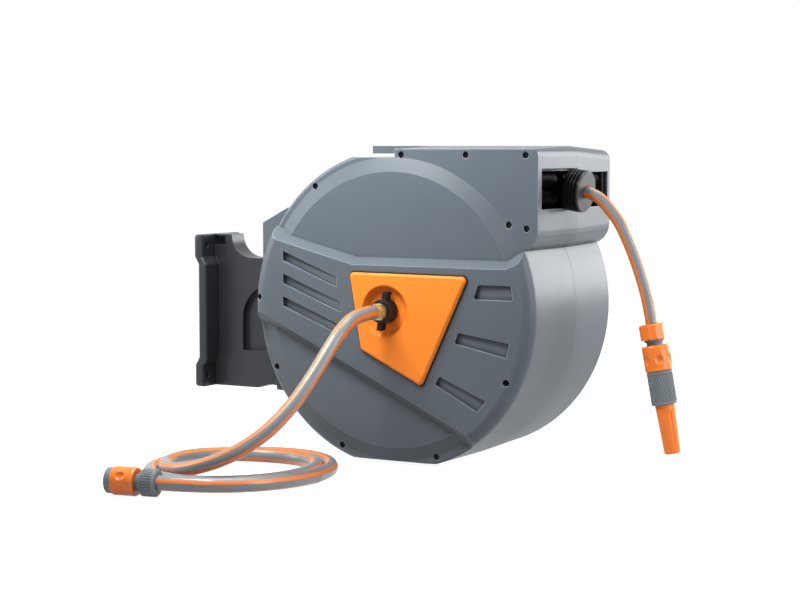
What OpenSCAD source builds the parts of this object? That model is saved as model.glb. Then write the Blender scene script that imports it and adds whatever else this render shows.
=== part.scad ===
// Wall mounted hose reel with a spring rewind drum.
// Millimetres, +Z up, +X away from the wall, -Y towards the inlet side.
// The origin lies on the wall, at the middle of the bracket's back.

/* [Wall bracket] */
// Height of the bracket
bracket_h = 200; // [180:1:220]
// Width of the wall plate
plate_w = 90; // [76:1:110]
// Thickness of the wall plate
plate_t = 13; // [10:0.5:16]
// How far the middle of the plate stands off the wall
plate_offset = 6; // [3:0.5:8]
// Height of each end pad
pad_h = 29; // [24:1:34]
// Thickness of the web between plate and hinge
web_t = 28; // [24:1:34]
// Distance between the wall and the hinge axis
pivot_x = 115; // [112:1:130]
// Radius of the hinge knuckles and the middle lug
knuckle_r = 18; // [17:0.5:20]
// Height of the bracket's upper knuckle
knuckle_h = 31.7; // [26:0.5:34]
// Height of the arm's top above the bracket's middle
arm_top = 69.7; // [66:0.5:72]
// Height of the lower knuckle
low_knuckle_h = 48; // [40:1:52]
// Radius of the swoop between the top block and the arm
swoop_r = 31; // [24:1:34]
// Radius of a wall screw hole
wall_hole_r = 3.5; // [2.5:0.25:4.5]
// Distance between the wall screw holes across the plate
wall_hole_w = 66; // [56:1:68]
// Distance between the wall screw holes up the plate
wall_hole_h = 172; // [168:1:176]

/* [Hinge] */
// Radius of the pivot rod
rod_r = 8; // [6:0.5:9]
// Radius of the rod's head
rod_head_r = 13; // [11:0.5:16]
// Wall of the pivot bushes
bush_t = 2.5; // [2:0.25:3]
// Half width of the grey hinge block
block_half = 27; // [24:1:32]
// Height of the upper lug at its outer edge
lug_h = 47; // [42:1:54]
// Radius of the lock pin
lock_pin_r = 2.5; // [2:0.25:3]

/* [Casing] */
// Distance between the hinge axis and the round casing
hinge_reach = 30; // [26:1:43]
// Height of the drum axis above the bracket's middle
reel_z = 19; // [10:1:28]
// Radius of the round casing
shell_r = 192; // [190:0.5:200]
// How far the top and bottom flats cut into the round
flat_cut = 9; // [6:0.5:11]
// Depth of the front shell, from the parting plane to its flange
front_depth = 107; // [105:0.5:114]
// Depth of the rear shell
rear_depth = 115; // [112:0.5:120]
// Wall thickness of the shells
wall = 3.5; // [3:0.25:4]
// Distance between the raised disc on the front and the casing's edge
dome_gap = 26; // [22:1:34]
// Rise of the raised disc above the flange
dome_rise = 6; // [4:0.5:8]
// Rise of the belt above the flange
belt_rise = 16; // [13:0.5:20]
// Width of the rounded shoulder round the belt
belt_round = 16; // [12:0.5:20]
// Run of the sloping shoulder above the belt
belt_slope = 14; // [8:0.5:18]
// Run of the long slope below the belt
belt_fade = 16; // [10:1:30]
// Radius of the rounding on the back edge of the rear shell
rear_round = 13; // [8:0.5:18]
// Taper of the rear shell towards its back
rear_taper = 2.5; // [1.5:0.5:4]

/* [Outlet housing] */
// How far the housing's outer face stands beyond the round casing
house_reach = 0; // [0:0.5:5]
// Rise of the housing's top above the casing's flat, at the parting plane
house_rise = 13.5; // [12.5:0.5:16]
// Fall of the housing's top from the parting plane to the front
house_fall = 3.5; // [2:0.5:4]
// Height of the housing, from its underside to its top
house_h = 123.5; // [118:0.5:129]
// Where the housing starts beside the drum axis
house_left = 2; // [-6:1:4]
// Radius of the upper outer corner
house_r_top = 12; // [8:0.5:14]
// Radius of the lower outer corner
house_r_low = 25; // [18:1:30]
// Distance from the housing's top to the outlet window
window_drop = 26.5; // [24:0.5:30]
// Height of the outlet window
window_h = 47; // [45:0.5:49]
// Distance from the casing's front flange to the outlet window
window_front_gap = 10; // [9:0.5:15]
// Distance from the casing's back to the outlet window
window_back_gap = 20; // [18:0.5:26]

/* [Panel and inlet] */
// Thickness of the orange panel
panel_t = 14; // [12:0.5:16]
// How far the panel stands above the belt
panel_rise = 5; // [3:0.5:7]
// Gap between the panel and its seat
panel_gap = 1; // [0.6:0.1:1.5]
// Radius of the panel's corners
panel_corner = 5; // [3:0.5:8]
// Width of the bevel along the panel's edge
panel_bevel = 2.5; // [1.5:0.25:3]
// Radius of the round dish in the panel
dish_r = 31; // [26:0.5:33]
// Depth of the round dish
dish_depth = 9; // [6:0.5:10]
// Radius of the wing nut's body
nut_r = 14.5; // [13.5:0.25:16]
// Length of the wing nut
nut_l = 19; // [16:0.5:22]
// Reach of each wing beyond the body
wing_reach = 9; // [6:0.5:11]
// Radius of the brass stem that the wing nut turns on
stem_r = 10; // [9:0.25:11]

/* [Drum] */
// Radius of the fixed axle
axle_r = 12; // [11:0.5:13]
// Gap between the rim of the drum flanges and the casing's outside
flange_gap = 26; // [24:0.5:32]
// Depth of the winding space, from the rim of the flanges to the hub
winding_depth = 69; // [62:0.5:75]
// Thickness of the flanges
flange_t = 4; // [3:0.5:5]
// Distance from the casing's front flange to the drum's front flange
drum_gap_front = 25; // [23:0.5:29]
// Distance from the casing's back to the drum's rear flange
drum_gap_rear = 35; // [33:0.5:39]
// Running clearance of every turning fit
fit = 0.05; // [0.03:0.01:0.1]
// Thickness of the rewind spring's strip
spring_t = 1.6; // [1:0.1:2.4]
// Turns of the rewind spring
spring_turns = 7; // [5:1:9]
// Height of the rewind spring's strip
spring_h = 32; // [26:1:34]
// Outer radius of the ratchet wheel
ratchet_r = 70; // [64:0.5:74]
// Number of ratchet teeth
ratchet_teeth = 20; // [14:1:24]

/* [Outlet rollers] */
// Radius of the level rollers
roller_r = 10.5; // [10:0.25:11]
// Radius of the upright rollers
post_r = 6.5; // [5.5:0.25:7]
// Radius of the roller pins
pin_r = 2; // [1.5:0.25:2]

/* [Hoses] */
// Outer diameter of the working hose
hose_d = 14; // [12:0.5:14.5]
// Outer diameter of the leader hose
leader_d = 17; // [15:0.5:17.4]
// Radius of the hose stop
stop_r = 25; // [24.5:0.5:28]
// Length of the hose stop
stop_l = 24; // [18:0.5:26]

/* [Couplers] */
// Radius of the coupler collars
collar_r = 16; // [15:0.25:17.5]
// Length of the nozzle coupler's collar
collar_l = 30; // [26:0.5:34]
// Length of the tap coupler's collar
tap_collar_l = 28; // [24:0.5:32]
// Radius of the hose nuts
hose_nut_r = 15.5; // [14:0.25:16.5]
// Length of the hose nuts
hose_nut_l = 18; // [15:0.5:22]
// Radius of the nozzle's ribbed sleeve
sleeve_r = 15; // [13.5:0.25:16]
// Length of the nozzle's ribbed sleeve
sleeve_l = 39; // [36:1:46]
// Radius of the nozzle tip where it leaves the sleeve
tip_r = 11.5; // [10.5:0.25:12.5]
// Length of the nozzle tip
tip_l = 58; // [52:1:68]

/* [Hidden] */
$fn = 96;

slate = "#5d666f";
orange = "#f5832a";
black = "#1d1e21";
charcoal = "#3a3d42";
hose_grey = "#979da1";
steel = "#b9bdc1";
brass = "#b98e45";

// Small values shared by several pieces
seat = 0.3;
over = 1;
reel_x = pivot_x + shell_r + hinge_reach;

// Bracket levels, from the middle of its height
bracket_top = bracket_h / 2;
knuckle_low = arm_top - knuckle_h;
low_knuckle_top = -(bracket_h / 2 - 5) + low_knuckle_h;
low_knuckle_bottom = -(bracket_h / 2 - 5);
pad_taper = 10;
hinge_gap = 0.1;
mid_lug_low = low_knuckle_top + hinge_gap;
mid_lug_top = knuckle_low - hinge_gap;
notch_x = pivot_x - 1.5 * knuckle_r;
arch_r = 2.5 * knuckle_r;
arch_x = pivot_x - 14;
pocket_depth = 9;
web_foot = 2 * knuckle_r - 1;
swoop_x = pivot_x - arch_r;
top_block_x = swoop_x - swoop_r;
lock_pin_z = (low_knuckle_bottom + low_knuckle_top) / 2;

// Upper lug of the hinge block
lug_low = arm_top + hinge_gap;
lug_top = lug_low + lug_h;
lug_slope = 20;
lug_out = pivot_x - knuckle_r;
spine_x = pivot_x + knuckle_r + 3;
bush_r = rod_r + fit + bush_t;
bush_flange_r = bush_r + 3;
bush_flange_t = 1.5;
rod_top = lug_top - 9;
rod_head_t = 6;

// Casing levels along the drum axis, counted towards the front
flat_half = shell_r - flat_cut;
dome_r = shell_r - dome_gap;
dome_z = front_depth + dome_rise;
belt_z = front_depth + belt_rise;
belt_r = shell_r - belt_round;
inner_r = shell_r - wall;
edge_round = 3;
cavity_r = dome_r - 10;
dome_foot_r = shell_r - 3 * edge_round;

// Belt outline on the front, about the drum axis: its top line, and the slope of its foot
belt_line = shell_r * [[-1.052, 0.4844], [-0.25, 0.2812], [0.823, 0.2812], [0.9062, 0.3125],
    [0.9583, 0.3802], [1.052, 0.5208]];
belt_foot_at = shell_r * [-0.8854, -0.0677];
belt_foot_rise = -0.466;
belt_back = wall + 4;

// Panel outline, clockwise from the upper left corner
panel_corners = shell_r * [[-0.2604, 0.2344], [0.5781, 0.2292], [0.2552, -0.4583], [-0.1771, -0.25]];
panel_z = belt_z + panel_rise;
panel_back = panel_z - panel_t;
seat_floor = panel_back - seat;
dish_floor = panel_z - dish_depth;

// Grooves on the left of the belt and pockets on its right
groove_x = -0.7656 * shell_r;
groove_tops = shell_r * [0.3542, 0.2083, 0.0625];
groove_ends = shell_r * [-0.3646, -0.3333, -0.2917];
groove_w = 12;
groove_fall = 0.39;
groove_deep = 5;
groove_shallow = 0.8;
pockets = [shell_r * [[0.6406, 0.1823], [0.8646, 0.1823], [0.875, 0.0938], [0.6094, 0.0938]],
    shell_r * [[0.5052, -0.1146], [0.8542, -0.1667], [0.8333, -0.2552], [0.4792, -0.1823]],
    shell_r * [[0.375, -0.3906], [0.6979, -0.526], [0.6354, -0.5938], [0.3438, -0.4427]]];
pocket_cut = 4;
pocket_corner = 2.5;

// Outlet housing and its window, about the drum axis
house_x = shell_r + house_reach;
house_top = flat_half + house_rise;
house_low = house_top - house_h;
house_r_left = 3;
window_top = house_top - window_drop;
window_low = window_top - window_h;
window_front = front_depth - window_front_gap;
window_back = rear_depth - window_back_gap;

// Screws: angles round the rim, then places on the outlet housing
rim_screw_r = shell_r - 8.5;
rim_screw_angles = [126.7, 177, 205, 247, 289];
side_screw_angle = 334;
side_screw_r = rim_screw_r - 6;
side_screw = side_screw_r * [cos(side_screw_angle), sin(side_screw_angle)];
house_front_top = house_top - house_fall;
house_screw_drop = 7;
house_screw_top_xs = [house_left + 9, house_left + 0.5053 * (house_x - house_left), house_x - 16];
house_screw_in = [37, 14];
house_screw_up = [32, 28];
house_screws = concat([for (x = house_screw_top_xs) [x, house_front_top - house_screw_drop]],
    [for (i = [0, 1]) [house_x - house_screw_in[i], house_low + house_screw_up[i]]]);
rim_screws = [for (a = rim_screw_angles) rim_screw_r * [cos(a), sin(a)]];
screw_places = concat(rim_screws, [side_screw], house_screws);
screw_r = 2;
screw_head_r = 3.8;
screw_head_t = 3;
screw_head_z = front_depth - 5;
screw_end_z = -18;
screw_boss_r = 6.5;

// Outlet: the hose line, its place along the drum and the roller cage
hose_z = 27.5;
hose_y = (window_low + window_top) / 2 - 0.5;
frame_deep = 54;
frame_x0 = house_x - frame_deep;
frame_x1 = house_x - wall - rear_taper - seat;
frame_low = window_low - 4;
frame_top = window_top + 8;
frame_front = window_front + 2;
frame_back = -(window_back - 2);
frame_t = 6;
frame_lip = 2;
roller_x = frame_x1 - frame_lip - 0.8 - roller_r;
post_x = frame_x0 + post_r + 2;
roller_gap = 0.4;
roller_waist_r = roller_r + seat - hose_d / 2 - roller_gap;
roller_waist = hose_d + 4;
upper_roller_y = hose_y + seat + roller_r;
lower_roller_y = hose_y - seat - roller_r;
front_post_z = frame_front - frame_t - post_r - 2;
rear_post_z = frame_back + frame_t + post_r + 2;

// Drum pieces
flange_r = shell_r - flange_gap;
hub_r = flange_r - winding_depth;
flange_front_z = front_depth - drum_gap_front;
flange_rear_z = rear_depth - drum_gap_rear;
hub_t = 4;
drum_boss_r = 22;
drum_boss_l = 20;
winding_r = hose_y - hose_d / 2 - 0.5;
axle_back = -(rear_depth - wall - 2.5);
axle_front = dish_floor + 2;
axle_bore_r = 6;
port_z = 18;
port_r = 4;
seal_r = 1.3;
seal_zs = [port_z - 10, port_z + 10];
swivel_r = axle_r + 6;
swivel_low = port_z - 16;
swivel_top = port_z + 16;
spring_case_r = hub_r - hub_t - seat;
spring_case_t = 4;
spring_floor = -flange_rear_z + seat;
spring_low = spring_floor + spring_case_t + 1;
arbor_r = 18;
spring_in = arbor_r + 1;
spring_out = spring_case_r - spring_case_t - seat;
spring_lid = spring_low + spring_h + 1;
ratchet_low = flange_front_z + flange_t;
ratchet_t = 7;
tooth_h = 8;
pawl_angle = 160;
pawl_gap = 22;
pawl_r = ratchet_r + pawl_gap;
pawl_pin_r = 3;
pawl_boss_r = 7;
pawl_t = ratchet_t - 1;
pawl_pin_hold = 14;
pawl_pin_top = ratchet_low + ratchet_t + pawl_pin_hold;
pawl_at = pawl_r * [cos(pawl_angle), sin(pawl_angle)];

// Hinge tongue that the two shells trap between them
tongue_half = 12;
tongue_foot_half = 20;
tongue_foot_t = 7;
tongue_foot_r = inner_r - seat - rear_taper * tongue_foot_half / (rear_depth - rear_round);
tongue_low = mid_lug_low - reel_z + 4;
tongue_top = lug_top - reel_z - 6;

// Top grip ledge over the rear shell's flat
grip_left = -0.474 * shell_r;
grip_low = flat_half + 4;
grip_top = house_top;
grip_w = 36;
grip_rib = 30;

// Inlet stem
hex_af = 19;
hex_t = 4;
ferrule_r = 6.7;
ferrule_l = 9;
nut_low = axle_front + seat;
hex_low = nut_low + nut_l + seat;
ferrule_low = hex_low + hex_t;
inlet_end = ferrule_low + ferrule_l;
wing_w = 6;
wing_turn = -11;

// Hose stop and the straight stretch of hose through it
stop_tilt = 8;
stop_at = [house_x + 1.5, hose_y - 0.2];
stop_bore_r = hose_d / 2 + 0.6;
disc_t = 3;
stop_ribs = 4;

// Nozzle axis: the hose ends here and leans outwards
nozzle_out = 109;
nozzle_fall = 156;
nozzle_at = [house_x + nozzle_out, hose_y - nozzle_fall];
nozzle_lean = 10.5;
neck_r = 11.5;
neck_l = 7;
collar_low = hose_nut_l + neck_l;
core_r = 9.5;
sleeve_low = collar_low + collar_l + seat;
tip_low = sleeve_low + sleeve_l;
tip_root = 14;
tip_root_r = 8;
tip_bore_r = 3.5;
tip_end_r = tip_r - 2;
collar_travel = 4;

// Leader coupler: the hose ends here, lying a little below the casing's flat.
// Its place is x about the drum axis and the distance out from the inlet.
floor_z = -flat_half - 5;
tap_place = [-111.2, 276.5];
tap_at = [tap_place[0], -inlet_end - tap_place[1]];
tap_turn = 190.7;
tap_way = [cos(tap_turn), -sin(tap_turn)];
tap_straight = 10;
tap_z = floor_z + collar_r;
tap_end_r = 14.5;
tap_end_l = 7;

// Working hose about the drum axis: along the drum's width, x outwards, z up
outlet_run = [162, 132, 97, 62, 32];
outlet_bend = [[-14, 0.6], [1, -0.2], [14, -2], [27, -4.2], [42, -11], [56, -25], [69, -42], [83, -70],
    [94, -98], [102, -123], [106.3, -141.3]];
outlet_route = concat([for (d = outlet_run) [house_x - d, hose_y]],
    [for (p = outlet_bend) [house_x, hose_y] + p], [nozzle_at]);

// Leader hose: it falls from the inlet in two bends, lies in loose turns and runs to its coupler.
// Each place is x about the drum axis, the distance out from the inlet, and the height.
lie = floor_z + leader_d / 2;
inlet_stub = 14;
fall_first = [[0, inlet_stub, 0], [0, 78.8, 0], [1.2, 93.1, 0.212 * lie], [-17.3, 146, 0.51 * lie]];
fall_hold = [-46.2, 228.3, 0.974 * lie];
turn_centre = [-118.5, 112.5];
turn_radii = [106.5, 122.5];
turn_pitch = leader_d + 1.3;
turn_from = 165;
turn_to = 717;
turn_step = 24;
turn_lift = 7;
turn_sink = 115;
turn_pull = 103.5;
run_pull = [22.9, 101.1];
function turn_place(a) =
    let (g = turn_pitch * (a / 360 - 2))
    turn_centre + [(turn_radii[0] + g) * cos(a), (turn_radii[1] + g) * sin(a)];
function turn_way(a) = unit(turn_place(a + 0.5) - turn_place(a - 0.5));
function turn_z(a) = lie + turn_lift * (1 + cos(180 * min(1, (a - turn_from) / turn_sink))) / 2;
function with_z(p, z) = [p[0], p[1], z];
function bend_place(p, t) =
    let (u = 1 - t)
    u * u * u * p[0] + 3 * t * u * u * p[1] + 3 * t * t * u * p[2] + t * t * t * p[3];
fall_second = [fall_first[3], fall_hold,
    with_z(turn_place(turn_from) - turn_pull * turn_way(turn_from), turn_z(turn_from)),
    with_z(turn_place(turn_from), turn_z(turn_from))];
run_end = tap_place - 2 * tap_straight * tap_way;
run_bend = [with_z(turn_place(turn_to), lie),
    with_z(turn_place(turn_to) + run_pull[0] * turn_way(turn_to), lie),
    with_z(run_end - run_pull[1] * tap_way, tap_z),
    with_z(run_end, tap_z)];
leader_places = concat([[0, 0, 0], [0, inlet_stub / 2, 0]],
    [for (i = [0:5]) bend_place(fall_first, i / 5)],
    [for (i = [1:7]) bend_place(fall_second, i / 8)],
    [for (a = [turn_from:turn_step:turn_to]) with_z(turn_place(a), turn_z(a))],
    [for (i = [1:8]) bend_place(run_bend, i / 8)],
    [for (i = [1, 0]) with_z(tap_place - i * tap_straight * tap_way, tap_z)]);
leader_route = [for (p = leader_places) [p[0], -inlet_end - p[1], p[2]]];

hose_sides = 10;
ring_steps = 2;

// Frames
// Reel frame: x outwards, y up, z towards the front along the drum axis
module reel_frame() {
    translate([reel_x, 0, reel_z]) rotate([90, 0, 0]) children();
}

// Prism along Y on an outline drawn in X and Z
module level_prism(half) {
    rotate([90, 0, 0]) linear_extrude(2 * half, center = true) children();
}

// Slab between two levels of the reel frame
module slab(low, high) {
    translate([0, 0, low]) linear_extrude(high - low) children();
}

module rod(r, low, high) {
    translate([0, 0, low]) cylinder(r = r, h = high - low);
}

module tube(r_out, r_in, low, high) {
    difference() {
        rod(r_out, low, high);
        rod(r_in, low - over, high + over);
    }
}

// Outline helpers
function unit(v) = v / norm(v);
function left_of(v) = [-v[1], v[0]];
function turn_sum(p) = [for (i = [0:len(p) - 1])
    let (q = p[(i + 1) % len(p)])
    p[i][0] * q[1] - q[0] * p[i][1]];
function total(v, i = 0) = i < len(v) ? v[i] + total(v, i + 1) : 0;
function facing(p) = total(turn_sum(p)) > 0 ? 1 : -1;
// Corner i of outline p, moved inwards by d
function inset_corner(p, i, d) =
    let (n = len(p),
        a = unit(p[i] - p[(i + n - 1) % n]),
        b = unit(p[(i + 1) % n] - p[i]),
        side = facing(p),
        na = left_of(a) * side,
        nb = left_of(b) * side)
    p[i] + d * (na + nb) / (1 + na * nb);
function inset(p, d) = [for (i = [0:len(p) - 1]) inset_corner(p, i, d)];
function edge_normal(p, i) = left_of(unit(p[(i + 1) % len(p)] - p[i])) * -facing(p);

// Points of an outline with round corners, each corner an arc of short straight steps
corner_steps = 6;
function left_turning(p) = facing(p) > 0 ? p : [for (i = [len(p) - 1:-1:0]) p[i]];
function corner_arc(p, i, r) =
    let (n = len(p),
        c = inset_corner(p, i, r),
        a = edge_normal(p, (i + n - 1) % n),
        b = edge_normal(p, i))
    [for (k = [0:corner_steps]) c + r * unit((1 - k / corner_steps) * a + k / corner_steps * b)];
function round_points(p, r) = let (q = left_turning(p))
    [for (i = [0:len(q) - 1]) each corner_arc(q, i, is_list(r) ? r[i] : r)];

module round_outline(p, r) {
    polygon(round_points(p, r));
}

// Solid through a row of outlines with equal point counts, each at its own level
module loft(levels, outlines) {
    n = len(outlines[0]);
    top = (len(levels) - 1) * n;
    points = [for (i = [0:len(levels) - 1]) for (q = outlines[i]) [q[0], q[1], levels[i]]];
    walls = [for (i = [0:len(levels) - 2]) for (k = [0:n - 1])
        let (a = i * n + k, b = i * n + (k + 1) % n)
        each [[a, a + n, b + n], [a, b + n, b]]];
    polyhedron(points, concat([[for (k = [0:n - 1]) k], [for (k = [n - 1:-1:0]) top + k]], walls));
}

// Sweep of a round hose along a smooth curve through its points
function smooth(p, i, t) =
    let (n = len(p),
        a = p[max(i - 1, 0)],
        b = p[i],
        c = p[min(i + 1, n - 1)],
        d = p[min(i + 2, n - 1)])
    0.5 * (2 * b + (c - a) * t + (2 * a - 5 * b + 4 * c - d) * t * t
        + (3 * b - a - 3 * c + d) * t * t * t);
function curve(p) = concat(
    [for (i = [0:len(p) - 2]) for (k = [0:ring_steps - 1]) smooth(p, i, k / ring_steps)],
    [p[len(p) - 1]]);
function heading(c, i) = unit(c[min(i + 1, len(c) - 1)] - c[max(i - 1, 0)]);
// Side vector carried along the curve without twist
function sides(c, i, s) = i >= len(c) ? [] :
    let (h = heading(c, i), w = unit(s - (s * h) * h))
    concat([w], sides(c, i + 1, w));
module hose(p, d, start_side) {
    c = curve(p);
    w = sides(c, 0, start_side);
    n = hose_sides;
    points = [for (i = [0:len(c) - 1]) for (k = [0:n - 1])
        c[i] + d / 2 * (cos(360 * k / n) * w[i] + sin(360 * k / n) * cross(heading(c, i), w[i]))];
    last = (len(c) - 1) * n;
    walls = [for (i = [0:len(c) - 2]) for (k = [0:n - 1])
        let (a = i * n + k, b = i * n + (k + 1) % n)
        each [[a, a + n, b], [b, a + n, b + n]]];
    ends = [for (k = [1:n - 2]) each [[0, k, k + 1], [last, last + k + 1, last + k]]];
    polyhedron(points, concat(walls, ends));
}
// Least gap of a hose to itself, between points more than a near run apart
function self_gap(c, d, near) = min([for (i = [0:len(c) - 1]) for (k = [i + near:1:len(c) - 1])
    norm(c[i] - c[k])]) - d;
near_run = 8;
echo(leader_hose_least_gap = self_gap(curve(leader_route), leader_d, near_run));

// Wall bracket
module plate_outline() {
    back = plate_offset;
    polygon([[0, -bracket_top], [plate_t, -bracket_top], [plate_t, -bracket_top + pad_h],
        [plate_t + back, -bracket_top + pad_h + pad_taper], [plate_t + back, bracket_top - pad_h - pad_taper],
        [plate_t, bracket_top - pad_h], [plate_t, bracket_top], [0, bracket_top],
        [0, bracket_top - pad_h], [back, bracket_top - pad_h - pad_taper],
        [back, -bracket_top + pad_h + pad_taper], [0, -bracket_top + pad_h]]);
}

module web_outline() {
    difference() {
        polygon([[plate_t - over, -bracket_top], [pivot_x - web_foot, -bracket_top],
            [pivot_x - knuckle_r, low_knuckle_bottom], [pivot_x, low_knuckle_bottom], [pivot_x, arm_top],
            [swoop_x, arm_top], [swoop_x, bracket_top], [plate_t - over, bracket_top]]);
        translate([swoop_x, arm_top + swoop_r]) circle(swoop_r);
        translate([swoop_x - swoop_r, arm_top + swoop_r]) square([2 * swoop_r, bracket_h]);
        translate([notch_x, low_knuckle_top]) square([pivot_x, knuckle_low - low_knuckle_top]);
    }
}

module arch_outline() {
    arch_z = knuckle_low - arch_r - 3;
    intersection() {
        union() {
            translate([arch_x, arch_z]) circle(arch_r);
            translate([arch_x - arch_r, low_knuckle_top - 5]) square([arch_r, arch_z - low_knuckle_top + 5]);
        }
        translate([arch_x - arch_r - over, low_knuckle_top - 5]) square([arch_r + 4, bracket_h]);
    }
}

module wall_bracket() {
    color(charcoal) difference() {
        union() {
            level_prism(plate_w / 2) plate_outline();
            level_prism(web_t / 2) web_outline();
            translate([pivot_x, 0, 0]) {
                rod(knuckle_r, knuckle_low, arm_top);
                rod(knuckle_r, low_knuckle_bottom, low_knuckle_top);
            }
        }
        translate([pivot_x, 0, 0]) rod(rod_r + fit, -bracket_h, bracket_h);
        for (s = [-1, 1]) {
            translate([0, s * (web_t / 2 - pocket_depth / 2 + over / 2), 0])
                level_prism((pocket_depth + over) / 2) arch_outline();
            translate([0, s * (web_t / 2 - pocket_depth / 2 + over / 2), 0])
                level_prism((pocket_depth + over) / 2) translate([plate_t, bracket_top - 14]) square([16, 11]);
        }
        for (y = [-1, 1]) for (z = [-1, 1]) translate([0, y * wall_hole_w / 2, z * wall_hole_h / 2])
            rotate([0, 90, 0]) rod(wall_hole_r, -over, plate_t + over);
        translate([pivot_x, 0, lock_pin_z]) rotate([90, 0, 0])
            rod(lock_pin_r + fit, -knuckle_r - over, knuckle_r + over);
    }
}

module pivot_rod() {
    color(black) translate([pivot_x, 0, 0]) difference() {
        union() {
            rod(rod_r, low_knuckle_bottom - over, rod_top);
            rod(rod_head_r, low_knuckle_bottom - seat - rod_head_t, low_knuckle_bottom - seat);
        }
        translate([0, 0, lock_pin_z]) rotate([90, 0, 0]) rod(lock_pin_r + fit, -rod_r - over, rod_r + over);
    }
}

module lock_pin() {
    color(steel) translate([pivot_x, 0, lock_pin_z]) rotate([90, 0, 0])
        rod(lock_pin_r, -knuckle_r, knuckle_r);
}

// Flanged bushes: one in the upper lug, two in the middle lug
module pivot_bush(low, high, flange_low) {
    tube(bush_r, rod_r + fit, low, high);
    tube(bush_flange_r, rod_r + fit, flange_low, flange_low + bush_flange_t);
}

module pivot_bushes() {
    bush_l = 18;
    color(steel) translate([pivot_x, 0, 0]) {
        pivot_bush(lug_low, lug_low + bush_l, lug_low);
        pivot_bush(mid_lug_low, mid_lug_low + bush_l, mid_lug_low);
        pivot_bush(mid_lug_top - bush_l, mid_lug_top, mid_lug_top - bush_flange_t);
    }
}

module hinge_block() {
    color(slate) difference() {
        union() {
            difference() {
                union() {
                    level_prism(block_half) polygon([[lug_out, lug_low], [lug_out, lug_top],
                        [lug_out + 2 * lug_slope - 2, lug_top + lug_slope], [reel_x, lug_top + lug_slope],
                        [reel_x, mid_lug_low], [spine_x, mid_lug_low], [spine_x, lug_low]]);
                    translate([pivot_x, 0, 0]) rod(knuckle_r, mid_lug_low, mid_lug_top);
                    translate([pivot_x, -tongue_half, mid_lug_low])
                        cube([spine_x - pivot_x + over, 2 * tongue_half, mid_lug_top - mid_lug_low]);
                }
                reel_frame() rod(shell_r + seat, -front_depth, front_depth);
            }
            reel_frame() intersection() {
                union() {
                    tube(shell_r + 2, tongue_foot_r - tongue_foot_t, -tongue_half, tongue_half);
                    tube(tongue_foot_r, tongue_foot_r - tongue_foot_t, -tongue_foot_half, tongue_foot_half);
                }
                translate([-reel_x, tongue_low, -front_depth])
                    cube([reel_x, tongue_top - tongue_low, 2 * front_depth]);
            }
        }
        translate([pivot_x, 0, 0]) {
            rod(bush_r, -bracket_h, rod_top + over);
            rod(bush_flange_r, lug_low - over, lug_low + bush_flange_t);
            rod(bush_flange_r, mid_lug_low - over, mid_lug_low + bush_flange_t);
            rod(bush_flange_r, mid_lug_top - bush_flange_t, mid_lug_top + over);
        }
        reel_frame() screw_holes(screw_boss_r + seat, -front_depth, front_depth);
    }
}

// Casing outlines in the reel frame
module between_flats(d) {
    translate([-2 * shell_r, -flat_half + d, -2 * shell_r])
        cube([4 * shell_r, 2 * (flat_half - d), 4 * shell_r]);
}

// Outlet housing, drawn in by d, and by more at its side and top towards the back
function house_points(d, side = 0, fall = 0) =
    let (right = house_x - d - side,
        top = house_top - d - fall,
        low = house_low + d + side,
        left = house_left + d)
    round_points([[left, low], [right, low], [right, top], [left, top]],
        [house_r_left, house_r_low - d / 2, house_r_top - d / 2, house_r_left]);

module house_outline(d) {
    polygon(house_points(d));
}

// Everything above the housing's falling top, drawn in by d
module above_house(d) {
    translate([-shell_r, house_top - d, 0]) rotate([atan(house_fall / front_depth), 0, 0])
        translate([0, 0, -shell_r]) cube([3 * shell_r, shell_r, 3 * shell_r]);
}

// One convex stretch of the belt between two places, from its foot to its face
function belt_foot(x) = belt_foot_at[1] + (x - belt_foot_at[0]) * belt_foot_rise;
function belt_quad(x0, x1, rise, fade) = [[x0, lookup(x0, belt_line) + rise],
    [x1, lookup(x1, belt_line) + rise], [x1, belt_foot(x1) - fade], [x0, belt_foot(x0) - fade]];

module belt_stretch(x0, x1, d) {
    foot_z = front_depth - 2 * wall;
    k = (belt_z - d - foot_z) / belt_rise;
    loft([foot_z, belt_z - d], [left_turning(belt_quad(x0, x1, k * belt_slope - d, k * belt_fade - d)),
        left_turning(belt_quad(x0, x1, -d, -d))]);
}

module belt_form() {
    intersection() {
        union() for (i = [0:len(belt_line) - 2]) belt_stretch(belt_line[i][0], belt_line[i + 1][0], 0);
        rotate_extrude() polygon(concat([[0, 0], [shell_r, 0]],
            [for (a = [0:10:90]) [belt_r + belt_round * cos(a), front_depth + belt_rise * sin(a)]],
            [[0, belt_z]]));
        between_flats(0);
    }
}

// Hollow behind the dome and the belt
module front_hollow() {
    rod(cavity_r, front_depth - 2 * wall, dome_z - wall);
    intersection() {
        union() {
            belt_stretch(belt_line[0][0], belt_line[1][0], belt_back);
            belt_stretch(belt_line[1][0], belt_line[2][0], belt_back);
        }
        rod(cavity_r, 0, belt_z);
    }
}

module screw_holes(r, low, high) {
    for (p = screw_places) translate(p) rod(r, low, high);
}

module hinge_slot() {
    translate([-reel_x, tongue_low - seat, -tongue_half - seat])
        cube([reel_x - cavity_r, tongue_top - tongue_low + 2 * seat, 2 * (tongue_half + seat)]);
}

// Groove on the belt's left: deep at its left end, running out to the right
module groove(top, end) {
    run = end - groove_x;
    intersection() {
        slab(belt_z - groove_deep, belt_z + over) polygon([[groove_x, top], [end, top - run * groove_fall],
            [end, top - run * groove_fall - groove_w], [groove_x, top - groove_w]]);
        translate([0, top + over, 0]) rotate([90, 0, 0]) linear_extrude(2 * run)
            polygon([[groove_x, belt_z - groove_deep], [end, belt_z - groove_shallow],
                [end, belt_z + over], [groove_x, belt_z + over]]);
    }
}

module window_cut(low, high, top) {
    translate([house_x - 4 * wall, window_low, low]) cube([8 * wall, top - window_low, high - low]);
}

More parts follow.
